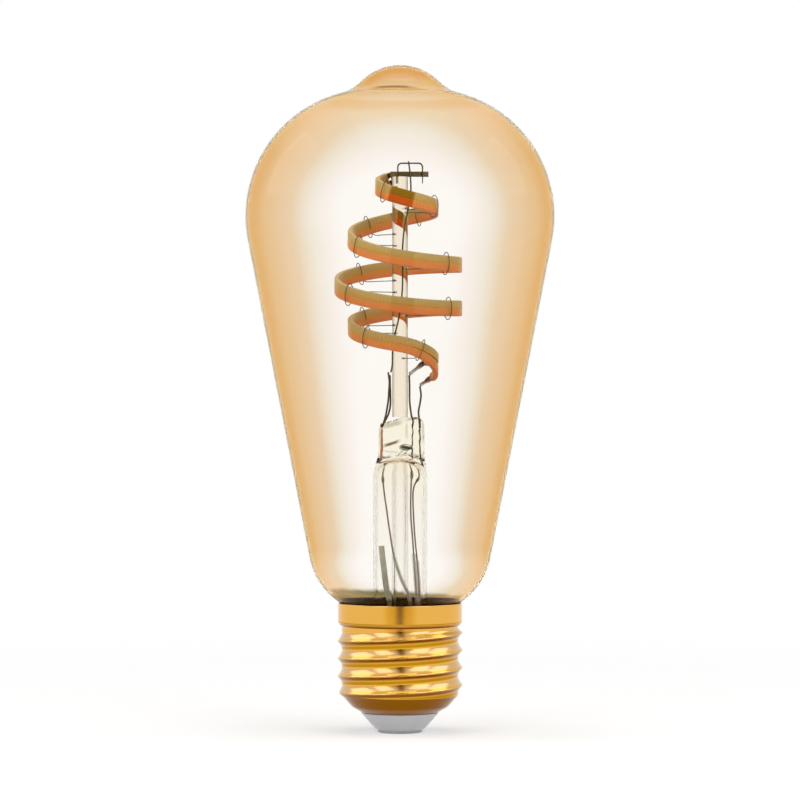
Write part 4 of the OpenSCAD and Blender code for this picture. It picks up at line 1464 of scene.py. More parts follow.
@dataclass(frozen=True)
class Tab:
    """A flat metal end of a strip, which narrows between two shares of its length."""

    wide: float
    narrow: float
    first: float
    last: float
    thick: float
    leave: float
    bulge: float
    finish: Metal
    approach: tuple[tuple[float, float, float], ...] = ()
    gap: float = 0.17
    sides: int = 16
    square: float = 8.0

    def build(self, node: str, strip_end: Array, away: Array, weld: Array, flat: Array) -> None:
        """Builds the tab.

        Args:
            node: The node that it stands for.
            strip_end: The end of its strip.
            away: The direction in which it leaves the strip.
            weld: The place that it is welded to.
            flat: The direction of its width.
        """
        path = smooth_route([
            strip_end + self.gap * away, strip_end + self.leave * away,
            (strip_end + weld) / 2 + self.bulge * away, *[weld + q for q in self.approach], weld,
        ])
        shares = [ease((t - self.first) / (self.last - self.first)) for t in np.linspace(0, 1, len(path))]
        widths = [self.wide + (self.narrow - self.wide) * share for share in shares]
        radii = np.array([[width / 2, self.thick / 2] for width in widths])
        rings = swept(path, soft_section(self.sides, self.square), radii, flat_frames(path, flat))
        PieceMaker(f"{node}_piece").add(rings).stand_for(node, "tab_metal", self.finish, crease=45)


START_TAB = Tab(wide=1.2, narrow=0.46, first=0.17, last=0.67, thick=0.26, leave=0.5, bulge=0.3,
                finish=START_METAL, approach=((-0.3, 0.05, 0.0),))
END_TAB = Tab(wide=1.2, narrow=0.7, first=0.5, last=0.67, thick=0.24, leave=0.7, bulge=0.35, finish=TAB_METAL)


@dataclass
class FilamentPair:
    """The two strips, wound side by side as one barrel-shaped spiral, with their metal ends."""

    datum: Datum
    rod_top: RodTop
    width: float = 1.55
    thickness: float = 1.1
    gap: float = 0.08
    hair: float = 0.002
    drop: float = 2.8
    pitch: float = 9.6
    top_r: float = 5.1
    swell: float = 8.5
    swell_power: float = 1.15
    top_flare: float = 10.0
    lean: float = 2.0
    turns: float = 4.0
    start: float = -0.12
    tail_start: float = 3.25
    wander: tuple[float, ...] = (1.1, 1.2, -0.1, -1.0, -0.4, -0.4, 0.4, 0.3, 0.6)
    end_share: float = 0.82
    seam_square: float = 24.0
    side_square: float = 5.0
    weld_inset: float = 0.5
    weld_gap: float = 0.25
    weld_split: float = 0.29
    weld_side: tuple[float, float, float] = (0.1, 0.1, 0.0)
    # Turns where the strip crosses the rod, as first turn, last turn and share of painted shade.
    rod_crossing_shade: tuple[tuple[float, float, float], ...] = (
        (0.187, 0.325, 1.0), (0.716, 0.784, 1.0), (1.215, 1.295, 0.3), (2.22, 2.29, 0.35),
    )
    rod_shade_edge: float = 0.01
    turn_step: float = 0.01
    steps: int = 440
    sides: int = 32

    def angle(self, u: float) -> float:
        """Returns the direction of turn u from the rod, in degrees."""
        return 180 + 360 * u

    def bow(self, u: float) -> float:
        """Returns how far the barrel has swollen at turn u, from 0 to 1."""
        return sine(180 / self.turns * max(u, 0.0))

    def radius(self, u: float) -> float:
        """Returns the distance of the strips' middle from the axis at turn u."""
        bulge = self.swell * self.bow(u) ** self.swell_power
        return self.top_r + bulge + self.top_flare * min(u, 0.0) - self.thickness / 2

    def height(self, u: float) -> float:
        """Finds the height of the pair's middle before its tail dives.

        Args:
            u: The turn.

        Returns:
            The height, with the pair's wander and its lean.
        """
        half = max(math.floor(2 * u), 0)
        sway = float(route_point(np.array(self.wander), half, 2 * u - half))
        lean = self.lean * self.bow(u) * sine(self.angle(u))
        return self.datum.post_top_z - self.drop - self.pitch * u + sway + lean

    def pair_point(self, u: float, strip: Strip) -> Array:
        """Finds the middle of the pair, on the way that one strip takes.

        Args:
            u: The turn.
            strip: The strip.

        Returns:
            The place.
        """
        a, r = self.angle(u), self.radius(u)
        dive = strip.dive * ease((u - self.tail_start) / strip.span)
        return np.array([r * cosine(a), r * sine(a), self.height(u) - dive])

    def heading(self, u: float, strip: Strip) -> Array:
        """Returns the direction in which the pair runs at turn u."""
        step = self.turn_step
        return unit(self.pair_point(u + step, strip) - self.pair_point(u - step, strip))

    def up(self, u: float, strip: Strip) -> Array:
        """Returns the direction across both strips at turn u."""
        a = self.angle(u)
        return unit(np.cross(np.array([cosine(a), sine(a), 0.0]), self.heading(u, strip)))

    def strip_point(self, u: float, strip: Strip) -> Array:
        """Returns the middle of one strip at turn u."""
        offset = strip.side * (self.width + self.gap) / 2
        return self.pair_point(u, strip) + offset * self.up(u, strip)

    def paint_layers(self, piece: bpy.types.Object, path: Array, turns: Array, across: Array) -> None:
        """Notes on each point of a strip what its finish needs.

        Args:
            piece: The strip.
            path: The points along its middle.
            turns: The turn at each of them.
            across: How far each point of its section lies away from the other strip.
        """
        lengths = np.concatenate([[0], np.cumsum(np.linalg.norm(np.diff(path, axis=0), axis=1))])
        edge = self.rod_shade_edge
        # Painted shade where the strip crosses the rod.
        rod_crossing_shade = np.array([
            max(share * ease((u - low) / edge) * ease((high - u) / edge) for low, high, share in self.rod_crossing_shade)
            for u in turns
        ])
        layers = (np.repeat(lengths, self.sides), np.tile(across, len(turns)), np.repeat(rod_crossing_shade, self.sides))
        for name, values in zip(STRIP_LAYERS, layers):
            attribute = piece.data.attributes.new(name, "FLOAT", "POINT")
            attribute.data.foreach_set("value", np.concatenate([values, [0.0, 0.0]]).astype(np.float32))

    def build_strip(self, strip: Strip) -> None:
        """Builds one strip.

        Args:
            strip: Which of the two it is.
        """
        turns = np.linspace(self.start, strip.end, self.steps + 1)
        path = np.array([self.strip_point(u, strip) for u in turns])
        ups = np.array([self.up(u, strip) for u in turns])
        outs = np.array([np.cross(self.heading(u, strip), self.up(u, strip)) for u in turns])
        radii = np.tile([(self.width + self.gap) / 2 - self.hair, self.thickness / 2], (len(turns), 1))
        radii[[0, -1]] *= self.end_share
        outer, seam = (soft_section(self.sides, square) for square in (self.side_square, self.seam_square))
        section = np.where(strip.side * outer[:, :1] > 0, outer, seam)
        maker = PieceMaker(f"{strip.name}_strip").add(swept(path, section, radii, (ups, outs)))
        piece = maker.stand_for(f"{strip.name}_filament", f"{strip.name}_phosphor", strip.finish, crease=75)
        self.paint_layers(piece, path, turns, strip.side * section[:, 0])

    def build_tabs(self, strip: Strip) -> None:
        """Builds the metal ends of one strip.

        Args:
            strip: Which of the two it is.
        """
        top, start, end = self.rod_top, self.start, strip.end
        weld = np.array([top.bar_x[0] + self.weld_inset, top.bar_t / 2 + self.weld_gap,
                         top.bar_z + strip.side * self.weld_split])
        START_TAB.build(f"{strip.name}_start_tab", self.strip_point(start, strip),
                        -self.heading(start, strip), weld, np.array([0.0, 0.0, 1.0]))
        weld = strip.lead_top(self.datum) + np.array(self.weld_side)
        END_TAB.build(f"{strip.name}_end_tab", self.strip_point(end, strip),
                      self.heading(end, strip), weld, self.up(end, strip))

    def build(self) -> None:
        """Builds both strips and their four tabs."""
        for strip in (COOL_STRIP, WARM_STRIP):
            self.build_strip(strip)
            self.build_tabs(strip)


@dataclass
class SupportHooks:
    """The wires that are rooted in the rod and loop round the strips."""

    spiral: FilamentPair
    wire_r: float = 0.13
    drawn: float = 0.68
    root: float = 0.8
    clear: float = 0.29
    clear_ends: float = 0.3
    foot: float = 1.5
    stem_steps: int = 4
    loop_start: float = -135.0
    loop_turn: float = 325.0
    loop_steps: int = 13
    loop_drift: float = 0.035
    steps: int = 5
    sides: int = 10
    turns: tuple[float, ...] = (0.14, 0.46, 0.67, 0.87, 1.10, 1.39, 1.86, 2.10, 2.39, 2.87, 3.12, 3.33)
    stems: tuple[float, ...] = (1.0, -1.3, 1.0, -1.85, 0.3, -0.95, -1.75, 0.6, -1.3, -1.7, 0.8, -1.7)

    def route(self, u: float, lift: float) -> Array:
        """Lays out one hook.

        Args:
            u: The turn that it holds.
            lift: How far its stem leaves the rod above the strips' middle.

        Returns:
            The points from its root in the rod to its free end.
        """
        pair, post_r = self.spiral, self.spiral.rod_top.post_r
        a = pair.angle(u)
        mid, up = pair.pair_point(u, COOL_STRIP), pair.up(u, COOL_STRIP)
        out = np.array([cosine(a), sine(a), 0.0])
        along = np.cross(up, out)
        reach_out = pair.thickness / 2 + self.clear + self.wire_r
        reach_up = pair.width + pair.gap / 2 + self.clear + self.wire_r + self.clear_ends
        side = -1 if lift > 0 else 1
        axis = np.array([0.0, 0.0, mid[2] + lift])
        span = pair.radius(u) - self.foot - post_r
        stem = [axis + (post_r - self.root + span * k / self.stem_steps) * out
                for k in range(self.stem_steps + 1)]
        loop = []
        for k in range(self.loop_steps + 1):
            t = self.loop_start + self.loop_turn * k / self.loop_steps
            ring = mid + reach_out * cosine(t) * out + side * reach_up * sine(t) * up
            loop.append(ring + self.loop_drift * k * along)
        return smooth_route([*stem, *loop], self.steps)

    def build(self) -> None:
        """Builds every hook as a piece of its own."""
        for number, (u, lift) in enumerate(zip(self.turns, self.stems), 1):
            rings = wire_rings(self.route(u, lift), self.wire_r * self.drawn, self.sides)
            maker = PieceMaker(f"hook_wire_{number}").add(rings)
            maker.stand_for(f"support_hook_{number}", "nickel_wire", HOOK_WIRE)


@dataclass(frozen=True)
class LeadIns:
    """Where the three lead-in wires pass through the press."""

    seal_z: float = 56.2
    common_x: float = -3.6
    cool_x: float = 2.55
    warm_x: float = 3.95


@dataclass
class InnerLeads:
    """The wires above the press: the hairpin, the climbing lead and the two leads to the lower tabs."""

    datum: Datum
    rod_top: RodTop
    lead_ins: LeadIns
    post_gap: float = 0.1
    lead_r: float = 0.2
    climber_share: float = 0.85
    clip_share: float = 0.7
    weld_drop: float = 2.3
    straight: float = 1.7
    seal_r: float = 0.21
    thin_share: float = 0.75
    seat: float = 0.02

    def build_wire(self, name: str, *wires: tuple[Array, float | Array]) -> None:
        """Builds one lead.

        Args:
            name: The node's name.
            wires: The path and the radius of each of its wires.
        """
        maker = PieceMaker(f"{name}_wire")
        for path, radius in wires:
            maker.add(wire_rings(path, radius))
        maker.stand_for(name, "nickel_wire", NICKEL)

    def build_climber(self) -> None:
        """Builds the lead that climbs the front of the rod."""
        bracket = self.rod_top
        front = -bracket.post_r - self.lead_r - self.post_gap
        top_y = bracket.wire_y - bracket.wire_r - self.lead_r - self.seat
        top_z = self.datum.post_top_z
        path = smooth_route([
            [-1.9, front, 74.4], [-1.6, front, 76], [-1.5, front, 79.3], [-1, front, 82.4],
            [-0.2, front, 86], [0.5, front, 92], [0.5, front, 99], [0.8, front, 103.4],
            [1.5, front + 0.2, 107.3], [2.2, front + 0.5, 111.5], [2.15, top_y, top_z],
            [1.75, top_y, top_z + bracket.rise + 0.4],
        ])
        self.build_wire("common_lead", (path, self.lead_r * self.climber_share))

    def build_hairpin(self) -> None:
        """Builds the hairpin, with its weld bead and its clip."""
        weld = np.array([self.lead_ins.common_x, 0, self.datum.press_top_z - self.weld_drop])
        clip = np.array([-2.45, -0.75, 74.5])
        up = [[0, 0, 0.4], [0.35, -0.1, 1.6], [0.75, -0.25, 3.1], [1.15, -0.4, 5.6], [1.3, -0.45, 7.6],
              [1.4, -0.5, 9.6]]
        back = [[0.1, 0.1, 0.6], [0.7, 0.2, 1.9], [1.2, 0.3, 2.9], [1.58, 0.25, 4.6], [1.62, 0.15, 6.8],
                [1.55, 0.1, 9]]
        bead = smooth_route([weld + [0, 0, 0.02], weld + [0, 0, 0.5], weld + [0.02, 0, 1]])
        bent = smooth_route([clip + [-0.05, 0.3, -0.3], clip + [0.2, -1.2, -0.25]], 4)
        bulge = 0.25 + 0.25 * np.sin(np.linspace(0.1, math.pi - 0.3, len(bead)))
        self.build_wire(
            "common_inner_lead",
            (smooth_route([*[weld + q for q in up], clip]), self.lead_r),
            (smooth_route([*[weld + q for q in back], clip + [0.35, 0.65, -0.6]]), self.lead_r),
            (bead, bulge),
            (bent, self.lead_r * self.clip_share),
        )

    def build_riser(self, strip: Strip, x: float, bends: Sequence[Sequence[float]]) -> None:
        """Builds the lead from the press up to one strip's lower tab.

        Args:
            strip: The strip that it feeds.
            x: Where it leaves the press.
            bends: The places that it passes through, above the press.
        """
        top_z = self.datum.press_top_z
        weld_z = top_z - self.weld_drop
        path = smooth_route([
            [x, 0, weld_z], [x, 0, weld_z + self.straight], *[[q[0], q[1], q[2] + top_z] for q in bends],
            strip.lead_top(self.datum) - np.array([0, 0, self.lead_r]),
        ])
        self.build_wire(f"{strip.name}_inner_lead", (path, self.lead_r))

    def build_seal(self, name: str, x: float, share: float, finish: Metal) -> None:
        """Builds one of the clad wires that pass through the press.

        Args:
            name: The wire's short name.
            x: Where it stands.
            share: How much of the common wire's radius it has.
            finish: Its finish.
        """
        top, low = self.datum.press_top_z - self.weld_drop - self.seat, self.lead_ins.seal_z
        path = smooth_route([[x, 0, low], [x, 0, (low + top) / 2], [x, 0, top]])
        maker = PieceMaker(f"{name}_clad_wire").add(wire_rings(path, self.seal_r * share))
        maker.stand_for(f"{name}_seal_wire", "seal_wire", finish)

    def build(self) -> None:
        """Builds every wire above the press and inside it."""
        places = self.lead_ins
        self.build_climber()
        self.build_hairpin()
        self.build_riser(COOL_STRIP, places.cool_x, [[2.3, 0.1, 0.7], [2, 0.3, 3.3], [1.98, 0.35, 6.4]])
        self.build_riser(WARM_STRIP, places.warm_x, [[3.85, 0.1, 1.2], [4.15, 0.2, 2.9], [4.35, 0.25, 4.6]])
        self.build_seal("common", places.common_x, 1.0, COPPER)
        self.build_seal("cool", places.cool_x, self.thin_share, CLAD_DARK)
        self.build_seal("warm", places.warm_x, self.thin_share, CLAD_DARK)


@dataclass
class TubeWires:
    """The wires inside the flare tube: three leads with their sleeves, and the radio's antenna."""

    lead_ins: LeadIns
    lead_r: float = 0.17
    bead_r: float = 0.33
    bead_h: float = 0.7
    bead_drop: float = 0.9
    sleeve_r: float = 0.42
    sleeve_gap: float = 0.06
    board_w: float = 9.4
    board_top_z: float = 16.2
    pad_drop: float = 0.9
    seat: float = 0.02
    steps: int = 9
    sleeve_spans: tuple[tuple[int, int], ...] = ((45, 81), (39, 66), (45, 69))
    sleeve_sides: int = 14
    antenna_half: tuple[float, float] = (0.625, 0.35)
    antenna_flat: tuple[float, float, float] = (1.0, 0.3, 0.0)
    antenna_sides: int = 20
    antenna_square: float = 5.0

    def routes(self) -> dict[str, list[list[float]]]:
        """Lays out the three leads.

        Returns:
            Their points by name, from the press down to the board.
        """
        pad, low = self.board_w, self.board_top_z - self.pad_drop
        seal_z, common, cool, warm = astuple(self.lead_ins)
        top = seal_z - self.seat
        return {
            "common": [
                [common, 0, top], [common, 0, seal_z - 3], [-3.3, -0.6, 50], [-2.7, -1.7, 46],
                [-2.1, -2.7, 41.8], [-1.2, -3.1, 36.5], [0.2, -3.4, 32], [1.7, -3.4, 28.4],
                [2.3, -3.1, 24.5], [2.6, -2.4, 20], [pad - 7, -0.95, 17.4], [pad - 7.1, -0.75, low],
            ],
            "cool": [
                [cool, 0, top], [cool, 0, seal_z - 2.2], [2.3, -0.5, 51.5], [2.2, -0.8, 45.5],
                [2.6, -0.9, 39.8], [3.2, -1, 31], [3.5, -1.2, 26], [3.9, -1.2, 20], [pad - 5, -0.9, 17.4],
                [pad - 5, -0.75, low],
            ],
            "warm": [
                [warm, 0, top], [warm, 0, seal_z - 3.2], [3, 0.7, 51], [2.7, 0.9, 48.4],
                [3.05, 0.9, 41.2], [3.6, 0.6, 35.4], [4, 0.3, 30], [4.05, 0, 25], [4.6, -0.4, 20.2],
                [pad - 3.1, -0.8, 17.2], [pad - 3.1, -0.75, low],
            ],
        }

    def build_lead(self, name: str, path: Array, bead: Array) -> None:
        """Builds one bare lead with its weld bead.

        Args:
            name: The lead's short name.
            path: The points along its middle.
            bead: The middle of its bead.
        """
        near = np.clip(1 - (np.linalg.norm(path - bead, axis=1) / self.bead_h) ** 2, 0, 1)
        radii = self.lead_r + (self.bead_r - self.lead_r) * np.sqrt(near)
        maker = PieceMaker(f"{name}_tube_wire").add(wire_rings(path, radii))
        maker.stand_for(f"{name}_outer_lead", "lead_wire", TINNED)

    def build_sleeve(self, name: str, path: Array) -> None:
        """Builds the sleeve over part of a lead.

        Args:
            name: The lead's short name.
            path: The points along the part that it covers.
        """
        outer, bore = (swept(path, round_section(self.sleeve_sides), np.full((len(path), 2), r))
                       for r in (self.sleeve_r, self.lead_r + self.sleeve_gap))
        maker = PieceMaker(f"{name}_lead_sleeve").add(np.concatenate([outer, bore[::-1]]), looped=True)
        maker.stand_for(f"{name}_sleeve", "lead_sleeve", SLEEVE)

    def build_antenna(self) -> None:
        """Builds the flat antenna sleeve."""
        path = smooth_route([
            [-3.93, 0.5, 38.5], [-3.65, 0.7, 35.8], [-3.34, 1, 33.3], [-2.86, 1.5, 29.6],
            [-2.1, 1.9, 26.5], [-2, 2, 22], [-1.5, 1.6, 18.6], [-0.6, 1.1, 16.4],
        ])
        radii = np.tile(self.antenna_half, (len(path), 1))
        section = soft_section(self.antenna_sides, self.antenna_square)
        rings = swept(path, section, radii, flat_frames(path, np.array(self.antenna_flat)))
        PieceMaker("antenna_lead").add(rings).stand_for("antenna", "antenna_sleeve", ANTENNA, crease=50)

    def build(self) -> None:
        """Builds the leads, their sleeves and the antenna."""
        for (name, points), (first, last) in zip(self.routes().items(), self.sleeve_spans):
            path = smooth_route(points, self.steps)
            self.build_lead(name, path, np.array(points[1]) - np.array([0, 0, self.bead_drop]))
            self.build_sleeve(name, path[first:last + 1])
        self.build_antenna()


@dataclass
class ScrewCap:
    """The rolled brass shell with its thread, the insulator, the contact and the cement."""

    datum: Datum
    crest_r: float = 13.05
    depth: float = 1.0
    pitch: float = 3.629
    crest_z: float = 20.6
    crests: float = 3.45
    collar_inset: float = 0.2
    collar_z: float = 22.0
    collar_gap: float = 0.2
    wall: float = 0.3
    lip_r: float = 7.6
    lip_inset: float = 0.03
    lip_curve: tuple[tuple[float, float], ...] = ((0.65, 1.4), (1.25, 2.4))
    cone_stop: float = 0.4
    cone_rows: int = 16
    collar_curve: tuple[float, float] = (0.2, 0.4)
    collar_rise: float = 0.8
    sharpness: tuple[float, float] = (1.7, 2.6)
    crest_round: float = 0.07
    run_out: float = 1.1
    fade_low: float = 1.8
    fade_high: float = 1.2
    segments: int = 240
    rows_per_pitch: int = 32
    collar_rows: tuple[float, ...] = (0.0, 0.1, 0.2, 0.4, 0.6, 0.8, 1.0)
    rim_rows: tuple[float, ...] = (1.5, 0.3, 0.12, 0.06, 0.0)

    @property
    def thread_low(self) -> float:
        """The height where the thread starts."""
        return self.crest_z - self.crests * self.pitch

    def outline(self) -> Array:
        """Draws the shell without its thread.

        Returns:
            Its points as (height, radius), from the lower lip up.
        """
        root, collar, low = self.crest_r - self.depth, self.crest_r - self.collar_inset, self.datum.shell_z
        return np.array([
            [low, self.lip_r + self.wall], *[[low + up, self.lip_r + out] for up, out in self.lip_curve],
            [self.thread_low - self.cone_stop, root], [self.collar_z, root],
            [self.collar_z + self.collar_curve[0], root + self.collar_curve[1]],
            [self.collar_z + self.collar_rise, collar], [self.datum.rim_z, collar],
        ])

    def rise(self, angles: Array, z: float) -> Array:
        """Measures the thread at one height.

        Args:
            angles: The directions round the axis, in radians.
            z: The height.

        Returns:
            How far the thread stands out in each direction.
        """
        phase = 2 * math.pi * (z - self.crest_z) / self.pitch - angles
        start, end = self.thread_low - self.run_out, self.collar_z - self.collar_gap
        fade = ease((z - start) / self.fade_low) * ease((end - z) / self.fade_high)
        off = ((phase + math.pi) % (2 * math.pi) - math.pi) / math.pi
        sharp = np.where(off > 0, *self.sharpness)
        return self.depth * fade * (1 - np.sqrt(off**2 + self.crest_round**2)).clip(0.0) ** sharp

    def ring(self, z: float, wall: float) -> Array:
        """Draws the shell's outer or inner side at one height.

        Args:
            z: The height.
            wall: How far inside the outer side it lies.

        Returns:
            Its ring of points.
        """
        outline, angles = self.outline(), ring_angles(self.segments)
        r = np.interp(z, outline[:, 0], outline[:, 1]) + self.rise(angles, z) - wall
        return np.column_stack([r * np.cos(angles), r * np.sin(angles), np.full(self.segments, z)])

    def build_shell(self) -> None:
        """Builds the shell."""
        start = self.thread_low - self.run_out
        rows = [
            *np.linspace(self.datum.shell_z, start, self.cone_rows)[:-1],
            *np.arange(start, self.collar_z - self.collar_gap, self.pitch / self.rows_per_pitch),
            *[self.collar_z + rise for rise in self.collar_rows],
            *[self.datum.rim_z - drop for drop in self.rim_rows],
        ]
        outer = np.array([self.ring(z, self.lip_inset if z in (rows[0], rows[-1]) else 0.0) for z in rows])
        inner = np.array([self.ring(z, self.wall) for z in reversed(rows)])
        maker = PieceMaker("brass_shell").add(np.concatenate([outer, inner]), looped=True)
        maker.stand_for("screw_shell", "cap_brass", BRASS, crease=60)

    def build(self) -> None:
        """Builds the shell and dresses the rest of the cap."""
        self.build_shell()
        dress_node("cap_insulator", CAP_GLAZE)
        dress_node("centre_contact", CONTACT)
        dress_node("basing_cement", CEMENT)


@dataclass
class DriverUnit:
    """The driver and radio electronics, which the cap hides."""

    finishes: tuple[tuple[str, Finish], ...] = (
        ("driver_board", BOARD_GREEN), ("driver_sleeve", FILM), ("bridge_rectifier", EPOXY),
        ("buck_inductor", FERRITE), ("storage_capacitor", CAN_SLEEVE), ("driver_chip", EPOXY),
        ("channel_transistors", EPOXY), ("radio_board", BOARD_BLUE), ("radio_shield", SHIELD),
        ("fuse_resistor", RESISTOR), ("chip_resistors", EPOXY), ("chip_capacitors", CHIP_TAN),
        ("live_wire", LIVE_SKIN), ("neutral_wire", NEUTRAL_SKIN),
    )

    def build(self) -> None:
        """Dresses every part of the driver."""
        for node, finish in self.finishes:
            dress_node(node, finish)


# ---- The studio ----


def seen_directly(board: NodeBoard) -> bpy.types.NodeSocket:
    """Tells what is looked at from light that falls on a piece.

    Args:
        board: The board of the surround or of a material.

    Returns:
        1 for what the camera, a reflection or clear glass sees, and 0 for the light that falls on a piece.
    """
    path = board.add("ShaderNodeLightPath").outputs
    seen = board.maths("MAXIMUM", path["Is Camera Ray"], path["Is Glossy Ray"])
    seen = board.maths("MAXIMUM", seen, path["Is Transmission Ray"])
    bounced = board.maths("GREATER_THAN", path["Diffuse Depth"], 0.5)
    return board.maths("MULTIPLY", seen, board.maths("SUBTRACT", 1.0, bounced))


@dataclass(frozen=True)
class FloorPaint(Finish):
    """Pale matt paint that fades into the white surround away from the object. Its sizes are in metres."""

    light: Colour = (0.88, 0.88, 0.88)
    dark: Colour = (0.84, 0.84, 0.84)
    cells_per_m: float = 60.0
    fade: tuple[float, float] = (0.05, 0.32)
    lift: float = 0.36

    def shader(self, board: NodeBoard) -> bpy.types.NodeSocket:
        """Builds the paint, a little lifted where it is looked at.

        Args:
            board: The material's board.

        Returns:
            The shader's output.
        """
        place = board.place()
        x, y, _ = board.axes(place)
        squares = board.maths("ADD", board.maths("POWER", x, 2.0), board.maths("POWER", y, 2.0))
        fade = board.easing(board.maths("POWER", squares, 0.5), *self.fade)
        colour = board.blend(board.noise(place, self.cells_per_m), self.dark, self.light)
        matt = board.add("ShaderNodeBsdfDiffuse", Color=colour).outputs[0]
        white = board.add("ShaderNodeEmission", Color=WHITE).outputs[0]
        lift = board.add("ShaderNodeEmission", Color=WHITE, Strength=self.lift).outputs[0]
        seen = seen_directly(board)
        lifted = board.mix(seen, matt, board.join("ShaderNodeAddShader", matt, lift))
        return board.mix(board.maths("MULTIPLY", fade, seen), lifted, white)


@dataclass(frozen=True)
class CardPaint(Finish):
    """The card's paint: a wide part that fades out towards its edges, and a tall dark middle stripe."""

    middle_z: float = 68.7
    half_w: float = 520.0
    wide_h: float = 380.0
    edge: tuple[float, float] = (0.65, 1.0)
    stripe: tuple[float, float] = (0.2, 0.32)
    shades: Stops = (
        (0.0, (0.05, 0.015, 0.0)), (0.09, (0.12, 0.05, 0.002)), (0.18, (0.50, 0.36, 0.04)),
        (0.28, (0.74, 0.62, 0.12)), (0.55, (0.80, 0.72, 0.2)), (0.8, (0.95, 0.9, 0.6)),
    )

    def shader(self, board: NodeBoard) -> bpy.types.NodeSocket:
        """Builds the paint.

        Args:
            board: The material's board.

        Returns:
            The shader's output.
        """
        x, _, z = board.axes(board.place())
        out = board.maths("DIVIDE", board.maths("ABSOLUTE", x), self.half_w * MM)
        up = board.maths("ABSOLUTE", board.maths("SUBTRACT", z, self.middle_z * MM))
        up = board.maths("MULTIPLY", up, 1 / MM / self.wide_h)
        solid = board.add("ShaderNodeEmission", Color=board.ramp(out, self.shades)).outputs[0]
        edge = board.easing(board.maths("MAXIMUM", out, up), *self.edge)
        open_share = board.maths("MINIMUM", edge, board.easing(out, *self.stripe))
        return board.mix(open_share, solid, board.add("ShaderNodeBsdfTransparent").outputs[0])


@dataclass(frozen=True)
class SoftBox:
    """A large soft lamp that faces the object."""

    name: str
    azimuth: float
    height: float
    distance: float
    width: float
    tall: float
    level: float

    @property
    def power(self) -> float:
        """The power, in watts, at which the lamp's face has its level."""
        return self.level * math.pi * self.width * self.tall * MM**2

    def add(self, middle: Array) -> None:
        """Adds the lamp, which only the camera doesn't see.

        Args:
            middle: The place that it faces.
        """
        data = bpy.data.lights.new(self.name, "AREA")
        data.shape = "RECTANGLE"
        data.size, data.size_y = self.width * MM, self.tall * MM
        data.energy = self.power
        towards = np.array([sine(self.azimuth), -cosine(self.azimuth), 0.0])
        where = self.distance * towards + np.array([0.0, 0.0, self.height])
        lamp = add_object(self.name, data)
        lamp.location = where * MM
        lamp.rotation_mode = "QUATERNION"
        lamp.rotation_quaternion = Vector(unit(where - middle)).to_track_quat("Z", "Y")
        lamp.visible_camera = False


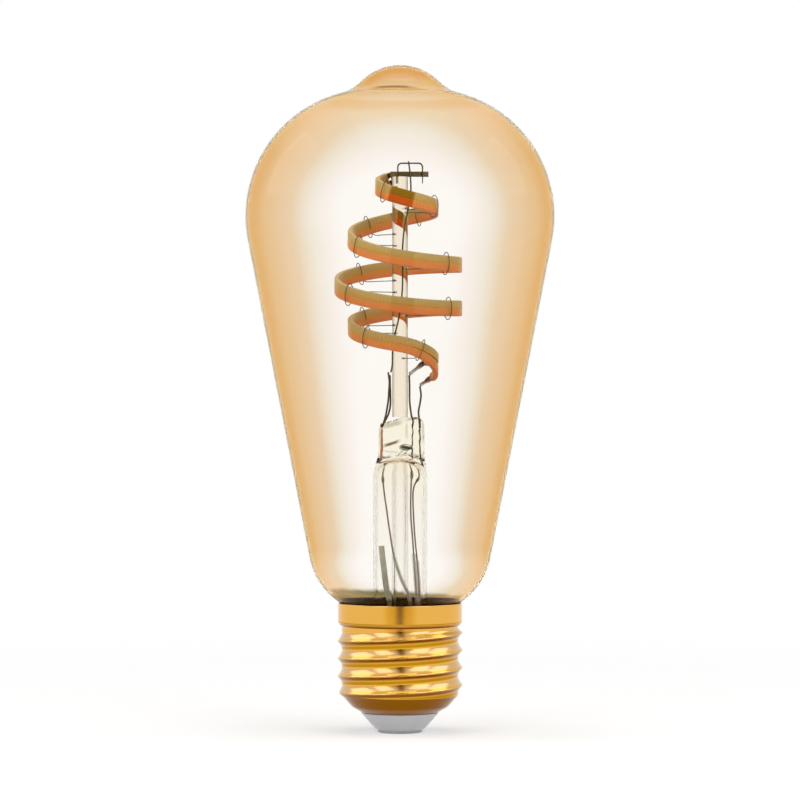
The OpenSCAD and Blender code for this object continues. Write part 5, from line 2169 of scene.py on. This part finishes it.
@dataclass
class Studio:
    """A pale floor, soft lamps, a white surround, a dark card for reflections and the camera."""

    datum: Datum
    camera_z: float = 68.7
    camera_distance: float = 740.0
    view_width: float = 165.6
    sensor: float = 36.0
    clip_m: tuple[float, float] = (0.01, 20.0)
    floor_rings: tuple[float, ...] = (1.0, 60.0, 200.0, 320.0)
    floor_sides: int = 96
    surround: float = 0.38
    card_y: float = -765.0
    card_size: tuple[float, float] = (1040.0, 2800.0)
    bounces: int = 28
    lamps: tuple[SoftBox, ...] = (
        SoftBox("left_front", -38.0, 330.0, 520.0, 290.0, 500.0, 1.2),
        SoftBox("right_front", 42.0, 330.0, 520.0, 360.0, 500.0, 1.2),
        SoftBox("left_side", -97.0, 400.0, 520.0, 500.0, 380.0, 1.15),
        SoftBox("right_side", 92.0, 400.0, 520.0, 400.0, 380.0, 1.15),
        SoftBox("overhead", 0.0, 620.0, 40.0, 420.0, 420.0, 0.95),
    )

    def add_camera(self) -> None:
        """Adds the camera, level and in front of the lamp."""
        data = bpy.data.cameras.new("camera")
        data.sensor_width = self.sensor
        data.lens = self.sensor * self.camera_distance / self.view_width
        data.clip_start, data.clip_end = self.clip_m
        camera = add_object("camera", data)
        camera.location = (0.0, -self.camera_distance * MM, self.camera_z * MM)
        camera.rotation_euler = (math.pi / 2, 0.0, 0.0)
        bpy.context.scene.camera = camera

    def add_surround(self) -> None:
        """Adds the white surround, which lights the object at a plain level."""
        world = bpy.data.worlds.new("surround")
        board = NodeBoard.cleared(world)
        strength = board.spread(seen_directly(board), self.surround, 1.0)
        light = board.add("ShaderNodeBackground", Color=WHITE, Strength=strength).outputs[0]
        board.add("ShaderNodeOutputWorld", Surface=light)
        bpy.context.scene.world = world

    def add_floor(self) -> None:
        """Adds the pale floor, a flat disc."""
        m = self.floor_sides
        rings = turned([np.array([r, 0.0]) for r in self.floor_rings], m)
        faces = [(i * m + k, i * m + (k + 1) % m, (i + 1) * m + (k + 1) % m, (i + 1) * m + k)
                 for i in range(len(rings) - 1) for k in range(m)]
        floor = add_mesh("floor", rings.reshape(-1, 3), [*faces, tuple(reversed(range(m)))])
        floor.data.materials.append(FloorPaint("pale_floor").material())

    def add_card(self) -> None:
        """Adds the dark card behind the camera, which only reflections show."""
        half_w, half_h = self.card_size[0] / 2, self.card_size[1] / 2
        corners = [(x, self.card_y, self.camera_z + z) for x, z in
                   ((-half_w, -half_h), (half_w, -half_h), (half_w, half_h), (-half_w, half_h))]
        card = add_mesh("dark_card", np.array(corners), [(0, 1, 2, 3)])
        card.data.materials.append(CardPaint("brown_card", self.camera_z, half_w).material())
        card.visible_camera = card.visible_diffuse = card.visible_transmission = card.visible_shadow = False

    def build(self) -> None:
        """Builds the studio."""
        self.add_camera()
        self.add_surround()
        self.add_floor()
        self.add_card()
        for lamp in self.lamps:
            lamp.add(np.array([0.0, 0.0, self.datum.lamp_h / 2]))
        scene = bpy.context.scene
        scene.view_settings.view_transform = "Standard"
        cycles = scene.cycles
        cycles.max_bounces = cycles.transmission_bounces = cycles.transparent_max_bounces = self.bounces
        LOG.info("studio built with %d lamps", len(self.lamps))


def main() -> None:
    """Builds the lamp and its studio."""
    logging.basicConfig(level=logging.INFO, format="%(name)s: %(message)s")
    datum = Datum.from_frame()
    Studio(datum).build()
    rod_top, lead_ins = RodTop(datum), LeadIns()
    spiral = FilamentPair(datum, rod_top)
    for part in (
        Envelope(datum), GlassMount(datum), spiral, SupportHooks(spiral), rod_top,
        InnerLeads(datum, rod_top, lead_ins), TubeWires(lead_ins), ScrewCap(datum), DriverUnit(),
    ):
        part.build()


if __name__ == "__main__":
    main()
